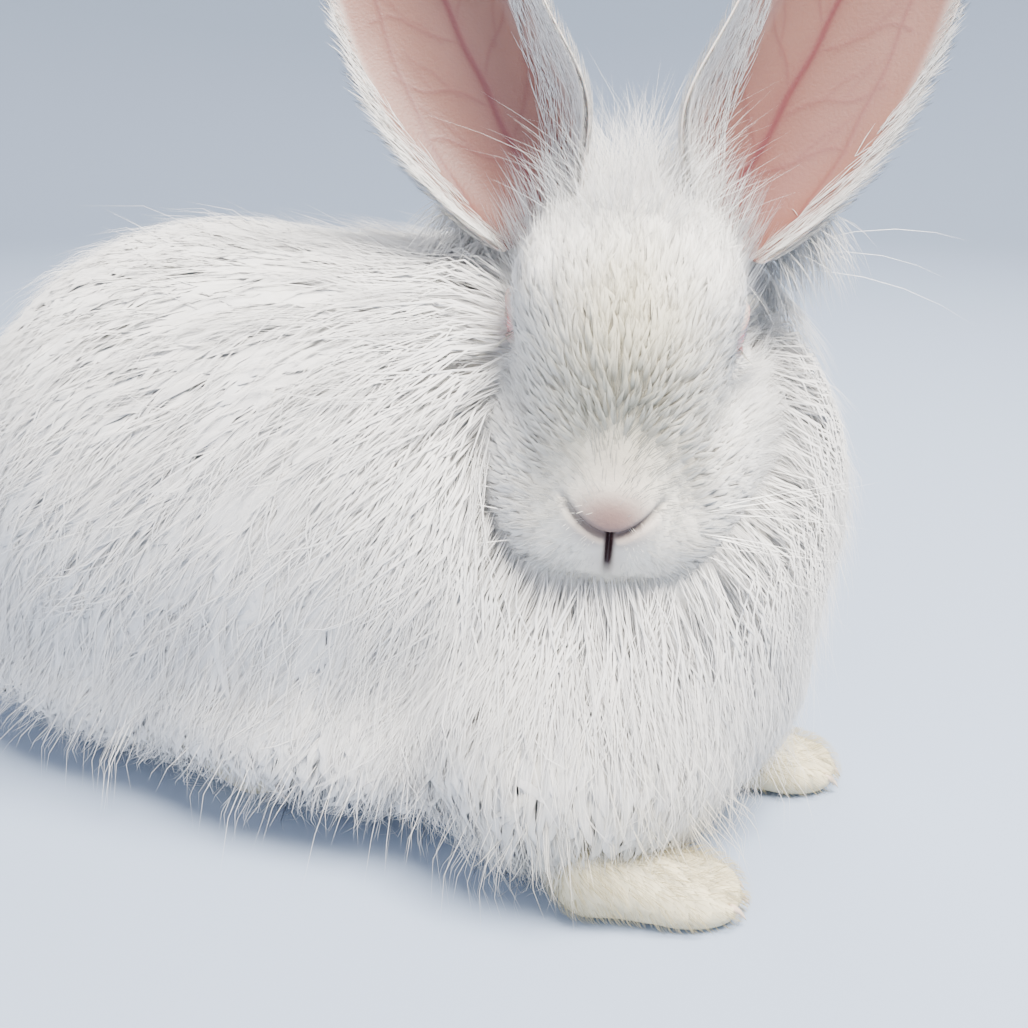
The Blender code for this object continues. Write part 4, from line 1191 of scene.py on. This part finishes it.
def ear_fur(side, word):
    """Fur of the ear's back, a fringe on its rims, and longer fur low down inside, by the other ear."""
    amount = EAR_HAIRS
    kind = draw.uniform(size=amount)
    fringe = kind < 0.42
    flank = kind > 0.68
    a = np.where(flank, 0.62 * draw.uniform(size=amount) ** 1.25, draw.uniform(0.0, 0.985, amount))
    c = draw.uniform(-1, 1, amount)
    c = np.where(fringe, np.sign(c) * draw.uniform(0.90, 1.0, amount), c)
    low = 1 - np.clip(a / 0.62, 0, 1)
    inner_side = -1 + 0.95 * draw.uniform(size=amount) ** 1.5 * (0.25 + 0.75 * low)
    outer_side = 1 - 0.45 * draw.uniform(size=amount) ** 1.5 * low
    c = np.where(flank, np.where(draw.uniform(size=amount) < 0.75, inner_side, outer_side), c)
    reach = np.select((fringe, flank), (0.0048 + 0.004 * low, 0.0065 + 0.0080 * low), 0.0060)
    reach = reach * draw.uniform(0.6, 1.2, amount)
    inward = fringe & (draw.uniform(size=amount) < 0.5)
    middle = ear_sheet(a, c)
    roots = ear_sheet(a, c, np.where(flank | inward, -0.3, 0.2) * EAR_THICKNESS)
    out = unit(ear_sheet(a, c, 0.001) - middle)
    up = unit(ear_sheet(np.minimum(a + 0.02, 0.99), c) - middle)
    side_way = unit(ear_sheet(a, np.clip(c + 0.02 * np.sign(c), -1.02, 1.02)) - middle)
    lean = np.select((fringe, flank), (0.75, 0.45), 0.0) + draw.normal(0, 0.16, amount)
    lift = np.select((inward, fringe, flank), (-0.0009, 0.0006, -0.0013), 0.0011)[:, None, None]
    step = np.linspace(0, 1, 3)[None, :, None]
    ways = unit(up + side_way * lean[:, None])
    paths = roots[:, None] + ways[:, None] * reach[:, None, None] * step
    paths = carried(paths + out[:, None] * lift * np.sin(1.9 * step), ear_place(side))
    widths = draw.uniform(0.00008, 0.00015, amount) * np.where(flank, 1.15, 1.0)
    spots = ear_map(side, a, c) + np.array((0.095, 0))
    tints = draw.uniform(0.6, 1.0, amount)
    out = turned(out * np.where(flank, -1, 1)[:, None], ear_place(side))
    for part, chosen, soft in (("back", ~flank, 0.2), ("flank", flank, 0.7)):
        values = {"tint": tints[chosen], "warmth": np.full(chosen.sum(), 0.10)}
        hair_pieces(
            f"coat_ear_{part}_{word}", "short_fur", short_fur, paths[chosen], widths[chosen],
            spots[chosen], values, out[chosen], 1.7, 0.6, soft,
        )


ear_finish = ear_material()
for side, word in SIDES:
    make_ear(side, word, ear_finish)
    ear_fur(side, word)

# %% [markdown]
# ## Fur round the ears' roots and on the crown
#
# The ear must grow out of the skull and not stand on it like a stuck-on leaf. Some hairs run from
# the skull up over the foot of the ear, some fall from its outer foot over the cheek, and a loose
# fluff fills the crown between the ears. None of these needs a guide, because each hair bows freely.

# %% Roots of the ears
for side, word in SIDES:
    foot = EAR_FEET[side]
    up_ear = np.array(HEAD_PLACE.inverted() @ ear_place(side))[:3, 2]
    roots = foot + draw.normal(0, 1, (BASE_HAIRS * 3, 3)) * (0.0100, 0.0105, 0.010)
    roots = settled(roots, -HEAD_SKIN, HEAD)
    off = roots - foot
    off -= up_ear * (off @ up_ear)[:, None]
    gap = np.linalg.norm(off, axis=1)
    keep = (gap > 0.009) & (gap < 0.021)
    roots, off, gap = roots[keep][:BASE_HAIRS], off[keep][:BASE_HAIRS], gap[keep][:BASE_HAIRS, None]
    ways = 0.75 * up_ear + 0.50 * off / gap + draw.normal(0, 0.15, (len(roots), 3)) + (-0.30, 0, 0)
    reach = draw.uniform(0.008, 0.018, len(roots))
    bow = 0.35 * up_ear - 0.30 * off / gap
    lay(
        f"coat_ear_base_{word}", "short_fur", short_fur, HEAD, roots,
        bowed(roots, unit(ways), bow[:, None], reach, 4), (0.00010, 0.00020), (0.6, 1.0), 0.10,
        outward(roots, HEAD), HEAD_PLACE, flat=0.6, soft=0.6,
    )

    # Fur that falls from the ear's outer foot, and three in five of it from the lobe
    amount = BASE_HAIRS
    roots = foot + np.array((-0.002, side * 0.011, -0.004))
    roots = roots + draw.normal(0, 1, (amount, 3)) * (0.0055, 0.0035, 0.0045)
    roots = settled(roots, -HEAD_SKIN, HEAD)
    a, c = draw.uniform(0.0, 0.17, amount), draw.uniform(0.45, 1.0, amount)
    lobe = carried(carried(ear_sheet(a, c), ear_place(side)), TO_HEAD)
    roots = np.where((np.arange(amount) % 5 < 3)[:, None], lobe, roots)
    ways = np.array((0.02, side * 0.60, -0.62)) + draw.normal(0, 0.28, (amount, 3))
    bow = np.array((-0.10, -side * 0.12, -0.42))
    reach = draw.uniform(0.010, 0.023, amount)
    lay(
        f"coat_ear_foot_{word}", "short_fur", short_fur, HEAD, roots,
        bowed(roots, unit(ways), bow, reach, 4), (0.00010, 0.00019), (0.6, 1.0), 0.10,
        outward(roots, HEAD), HEAD_PLACE, flat=0.6, soft=0.6,
    )

# %% Fluff on the crown
amount = CROWN_HAIRS
a = draw.uniform(size=amount)
b = np.clip(draw.normal(0, 0.6, amount), -1.5, 1.5)
roots = settled(np.stack((-0.052 - 0.042 * a, 0.0115 * b, 0.050 - 0.010 * a), axis=1), -HEAD_SKIN, HEAD)
tuft = draw.integers(0, 60, amount)
tuft_way = draw.normal(0, 1, (60, 3))
ways = np.stack((-0.05 - 0.75 * a, 0.30 * b, np.ones(amount)), axis=1)
ways += 0.24 * tuft_way[tuft] * (1, 1, 0.3) + draw.normal(0, 0.16, (amount, 3))
reach = 0.031 * draw.uniform(0.25, 1.0, amount) ** 1.2 * (1 - 0.22 * np.abs(b))
bow = np.stack((np.full(amount, -0.42), 0.25 * b, np.full(amount, -0.22)), axis=1)
bow += 0.30 * tuft_way[tuft][:, ::-1] * (1, 1, 0.3) + draw.normal(0, 0.14, (amount, 3))
lay(
    "coat_crown", "wool", wool, HEAD, roots, bowed(roots, unit(ways), bow[:, None], reach, 5),
    (0.00005, 0.00010), (0.6, 1.0), 0.05, outward(roots, HEAD), HEAD_PLACE, flat=0.6, soft=0.4,
)

# %% The tail
roots = sampled(*form_skins["tail"], 3000)
roots = roots[roots[:, 1] > 0.140][:TAIL_HAIRS]
lengths = 0.026 * draw.uniform(0.7, 1.15, len(roots))
offsets = (-0.007, -0.003, -0.001, 0.0, 0.0005)
source = np.array((0, 0.120, 0.040))
paths = guides(roots, TAIL, lengths, (0, 0.2, 0.45, 0.75, 1.0), offsets, source, (0, 0, 0.5), 0.2)
paths = with_strays(paths, 0.25, 0.0018, 0.0040, 0.0055)
lay(
    "coat_tail", "wool", wool, TAIL, roots, paths, (0.00012, 0.00024), (0.5, 1.0), 0.05,
    outward(roots, TAIL),
)

# %% [markdown]
# ## Eyes and lids
#
# A white rabbit of this kind has no pigment in its eyes, so the pupil glows deep red in a pink
# iris. Each eye is a ball with rings of colour round its outward direction, and a clear coat gives
# it its wet look. The lids are bent sheets that start at an almond opening and run into the skin,
# with a crease, very short fur and pale lashes.


# %% Eyeballs and their finish
def eye_material():
    """Eye of a white rabbit: a deep red pupil in a pink iris, very smooth."""
    made, tree, shader = material("eye_surface", Roughness=0.04)
    ramp = node(tree, "ShaderNodeValToRGB", Fac=read(tree, "ring"))
    first, last = ramp.color_ramp.elements
    first.position, first.color = 0.34, linear("4A0A12")
    last.position, last.color = 0.92, linear("D9B0AC")
    for position, colour in ((0.42, "B4535A"), (0.74, "C98488")):
        ramp.color_ramp.elements.new(position).color = linear(colour)
    put(tree, shader.inputs["Base Color"], ramp.outputs["Color"])
    shader.inputs["Coat Weight"].default_value = 0.6
    return made


def lid_material():
    """Thin bare skin of the lids, pinker at their rims."""
    made, tree, shader = material("eyelid_skin", Roughness=0.45)
    colour = blended(tree, read(tree, "rim"), linear("BFB1A9"), linear("9E625C"))
    put(tree, shader.inputs["Base Color"], colour)
    return made


def make_eye(side, word, finish):
    """A ball from angles: r (sin p cos t, sin p sin t, cos p)."""
    polar, turn = np.meshgrid(np.linspace(0, math.pi, 28), np.linspace(0, 2 * math.pi, 40), indexing="ij")
    ways = (np.sin(polar) * np.cos(turn), np.sin(polar) * np.sin(turn), np.cos(polar))
    ways = np.stack(ways, axis=-1).reshape(-1, 3)
    eye = mesh_object(f"eyeball_{word}", EYES[side] + ways * EYE_RADIUS, grid_quads(28, 40), finish)
    looking = unit(np.array((0.18, side * 0.98, 0.05)))
    set_values(eye, ring=np.arccos(np.clip(ways @ looking, -1, 1)) / 0.95)
    eye.data.transform(HEAD_PLACE)
    welded(eye)
    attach(eye, "root")
    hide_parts(f"eye_{word}")


# %% Lids, their fur and their lashes
LID_TURNS, LID_RUNS = 73, 22


def make_lids(side, word, finish):
    """Lids from the almond (0.0072 cos t, 0.0046 sin t) out over the ball, and the outward ways on them."""
    around, inwards = np.linspace(0, 2 * math.pi, LID_TURNS), np.linspace(0, 1, LID_RUNS)
    turn, run = np.meshgrid(around, inwards, indexing="ij")
    f = 0.0072 * np.cos(turn)
    u = 0.0046 * np.sin(turn) * (1 - 0.30 * np.cos(turn) ** 2) - 0.0002
    start = np.arcsin(np.minimum(np.hypot(f, u) / EYE_RADIUS, 0.95))
    angle = start + (math.radians(98) - start) * run**1.3
    lip = 1 - np.clip(1 - run / 0.13, 0, 1) ** 2
    crease = 0.0005 * np.exp(-(((run - 0.42) / 0.08) ** 2))
    radius = EYE_RADIUS - 0.0002 + 0.0018 * lip**0.6 - crease
    round_f, round_u = f / np.hypot(f, u), u / np.hypot(f, u)
    ways = np.stack((np.sin(angle) * round_f, side * np.cos(angle), np.sin(angle) * round_u), axis=-1)
    shell = EYES[side] + ways * radius[..., None]
    faces = grid_quads(LID_TURNS, LID_RUNS)[:, ::side]
    lid = mesh_object(f"lids_{word}", carried(shell, HEAD_PLACE).reshape(-1, 3), faces, finish)
    set_values(lid, rim=np.exp(-((run / 0.22) ** 2)).ravel())
    welded(lid)
    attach(lid, "root")
    return shell, ways


def lid_fur(word, shell, ways):
    """Very short fur that lies back over the lids, and lashes from their rims that stand out."""
    amount = LID_HAIRS
    pick = draw.integers(0, LID_TURNS - 1, amount)
    back = draw.uniform(size=amount)
    lash = draw.uniform(size=amount) < 0.12
    row = np.where(lash, 2, 4 + (12 * back).astype(int))
    roots = shell[pick, row] + draw.normal(0, 0.0002, (amount, 3))
    out = ways[pick, row]
    way = unit(shell[pick, row + 4] - shell[pick, row]) * np.where(lash, 0.25, 1.0)[:, None]
    way = unit(way + np.array((-0.5, 0, 0.1)) + 0.35 * out * np.where(lash, 3, 1)[:, None])
    reach = np.where(lash, 0.0045, 0.0028) * draw.uniform(0.7, 1.2, amount)
    step = np.linspace(0, 1, 3)[None, :, None]
    paths = roots[:, None] + way[:, None] * reach[:, None, None] * step
    paths -= 0.0008 * out[:, None] * step**2 * np.where(lash, 0, 1)[:, None, None]
    lay(
        f"lid_fur_{word}", "short_fur", short_fur, HEAD, roots, paths, (0.00007, 0.00014), (0.6, 1.0), 0.5,
        out, HEAD_PLACE, flat=0.6, soft=0.6,
    )


eye_finish, lid_finish = eye_material(), lid_material()
for side, word in SIDES:
    make_eye(side, word, eye_finish)
    lid_fur(word, *make_lids(side, word, lid_finish))

# %% [markdown]
# ## Claws and whiskers
#
# Claws are short curved horns that just clear the fur of the toes. Whiskers are long stiff hairs
# in four rows on the pads of the upper lip, and they bow back and down by their own weight. Both
# are tubes that narrow to a point along a curve.

# %% Claws, four to a paw
horn, _, horn_shader = material("horn", Roughness=0.35)
horn_shader.inputs["Base Color"].default_value = linear("D9C3AE")
CLAW_RINGS, CLAW_SIDES = 7, 9
CLAW_REACH = {"fore": (-0.0275, 0.0062), "hind": (-0.0655, 0.0074)}
step = np.linspace(0, 1, CLAW_RINGS)
spin = np.linspace(0, 2 * math.pi, CLAW_SIDES)
for form_name, form in LEGS.items():
    reach, spacing = CLAW_REACH[form_name[:4]]
    paths = []
    for toe in TOES:
        start = reach + 0.0022 * abs(toe) + 0.0022
        claw = (spacing * toe * (1 + 0 * step), start - 0.0048 * step, 0.0056 - 0.0042 * step**2)
        paths.append(np.stack(claw, axis=1))
    paths = carried(np.array(paths), form.place)
    steps = unit(np.gradient(paths, axis=1))
    aside = unit(np.cross(steps, (0, 0, 1.0)))
    top = np.cross(aside, steps)
    size = (0.0012 * (1 - step**1.6))[None, :, None, None]
    ring = (
        np.cos(spin)[None, None, :, None] * aside[:, :, None]
        + np.sin(spin)[None, None, :, None] * top[:, :, None]
    )
    points = (paths[:, :, None] + ring * size).reshape(len(TOES), -1, 3)
    points = np.concatenate((np.repeat(paths[:, :1], CLAW_SIDES, axis=1), points), axis=1)
    points[..., 2] = np.maximum(points[..., 2], GROUND)
    quads = grid_quads(CLAW_RINGS + 1, CLAW_SIDES)
    faces = np.concatenate([quads + points.shape[1] * k for k in range(len(TOES))])
    claws = mesh_object(f"claws_{form_name}", points.reshape(-1, 3), faces, horn)
    welded(claws)
    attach(claws, "root")

# %% Whiskers
step = np.linspace(0, 1, 7)[:, None]
paths = []
for k in range(WHISKERS):
    side = -1 if k % 2 else 1
    row = (k // 2) % 4
    along = draw.uniform(0, 1)
    root = np.array((-0.010 - 0.012 * along, side * (0.0150 + 0.006 * along), -0.003 - 0.0035 * row))
    way = unit(np.array((0.10 - 0.5 * along, side * 1.0, 0.20 - 0.22 * row + draw.normal(0, 0.12))))
    reach = draw.uniform(0.034, 0.070) if side < 0 else draw.uniform(0.030, 0.054)
    bow = np.array((-0.25, 0.0, -0.22 + draw.normal(0, 0.1)))
    paths.append(root + (way * step + bow * step**2) * reach)
# Three long guard hairs from the outer foot of the left ear, which bow out past the cheek
GUARD_TIPS = ((0.088, -0.1765, 0.134), (0.056, -0.1770, 0.163), (0.070, -0.1700, 0.150))
root = settled(np.array([(-0.083, 0.036, 0.033)]), -HEAD_SKIN, HEAD)[0]
for tip in carried(np.array(GUARD_TIPS), TO_HEAD):
    lift = 0.5 * (root + tip) + (0.0, 0.0, 0.016)
    paths.append((1 - step) ** 2 * root + 2 * step * (1 - step) * lift + step**2 * tip)
paths = np.array(paths)
amount = len(paths)
whisker, _, whisker_shader = material("whisker", Roughness=0.3)
whisker_shader.inputs["Base Color"].default_value = linear("FAFAF8")
hair_pieces(
    "whiskers", "wool", whisker, carried(paths, HEAD_PLACE), draw.uniform(0.00008, 0.00014, amount),
    bake_place(HEAD, paths[:, 0]), {"tint": np.ones(amount)}, np.tile((0.0, 0.0, 1.0), (amount, 1)),
    flat=1.0,
)

# %% [markdown]
# ## Floor, light and camera
#
# The floor is a wide pale disc whose rim curves up into a backdrop, as the paper of a photo studio
# does, so that no horizon shows. One large soft lamp high in front models the form, and two weak
# ones open the shade. The camera stands where the photographer stood, close by and a little above
# the animal.

# %% Floor
floor_finish, _, floor_shader = material("painted_floor", Roughness=0.7)
floor_shader.inputs["Base Color"].default_value = linear("8E9CB2")
turn, run = np.meshgrid(np.linspace(0, 2 * math.pi, 97), np.linspace(0, 1, 40), indexing="ij")
reach = 2.6 * run
rise = 1.6 * np.clip((reach - 1.3) / 1.3, 0, 1) ** 2.2
bowl = np.stack((reach * np.cos(turn), reach * np.sin(turn), rise - 0.0002), axis=-1).reshape(-1, 3)
floor = mesh_object("floor", bowl, grid_quads(97, 40)[:, ::-1], floor_finish)

# %% Light
world_light = bpy.data.worlds.new("studio")
world_light.use_nodes = True
back = world_light.node_tree.nodes["Background"]
back.inputs["Color"].default_value = linear("E2E8F2")
back.inputs["Strength"].default_value = 0.36
bpy.context.scene.world = world_light


def area_light(name, place, target, size, power, colour):
    """A square soft light that faces its target."""
    data = bpy.data.lights.new(name, "AREA")
    data.size = size
    data.energy = power
    data.color = linear(colour)[:3]
    made = bpy.data.objects.new(name, data)
    made.location = place
    made.rotation_euler = (Vector(target) - Vector(place)).to_track_quat("-Z", "Y").to_euler()
    bpy.context.scene.collection.objects.link(made)


area_light("key", (-0.14, -0.72, 1.55), (0, -0.03, 0.09), 0.8, 172, "FFF9F0")
area_light("fill", (-1.2, 0.1, 0.9), (0, 0, 0.09), 1.2, 20, "F4F6FF")
area_light("back", (0.9, 0.5, 1.1), (0, 0, 0.12), 0.8, 18, "FFFFFF")

# %% Camera
azimuth, elevation = math.radians(-62), math.radians(20)
level = math.cos(elevation)
ahead = -Vector((math.sin(azimuth) * level, -math.cos(azimuth) * level, math.sin(elevation)))
across_view = Vector((math.cos(azimuth), math.sin(azimuth), 0))
up_view = across_view.cross(ahead)
camera = bpy.data.objects.new("camera", bpy.data.cameras.new("camera"))
camera.data.lens = 43.46
camera.data.sensor_width = 36
camera.data.clip_start = 0.01
camera.matrix_world = (
    Matrix.Translation(Vector((-0.306, -0.227, 0.209)) + Vector(SHIFT))
    @ Matrix((across_view, up_view, -ahead)).transposed().to_4x4()
)
bpy.context.scene.collection.objects.link(camera)
bpy.context.scene.camera = camera
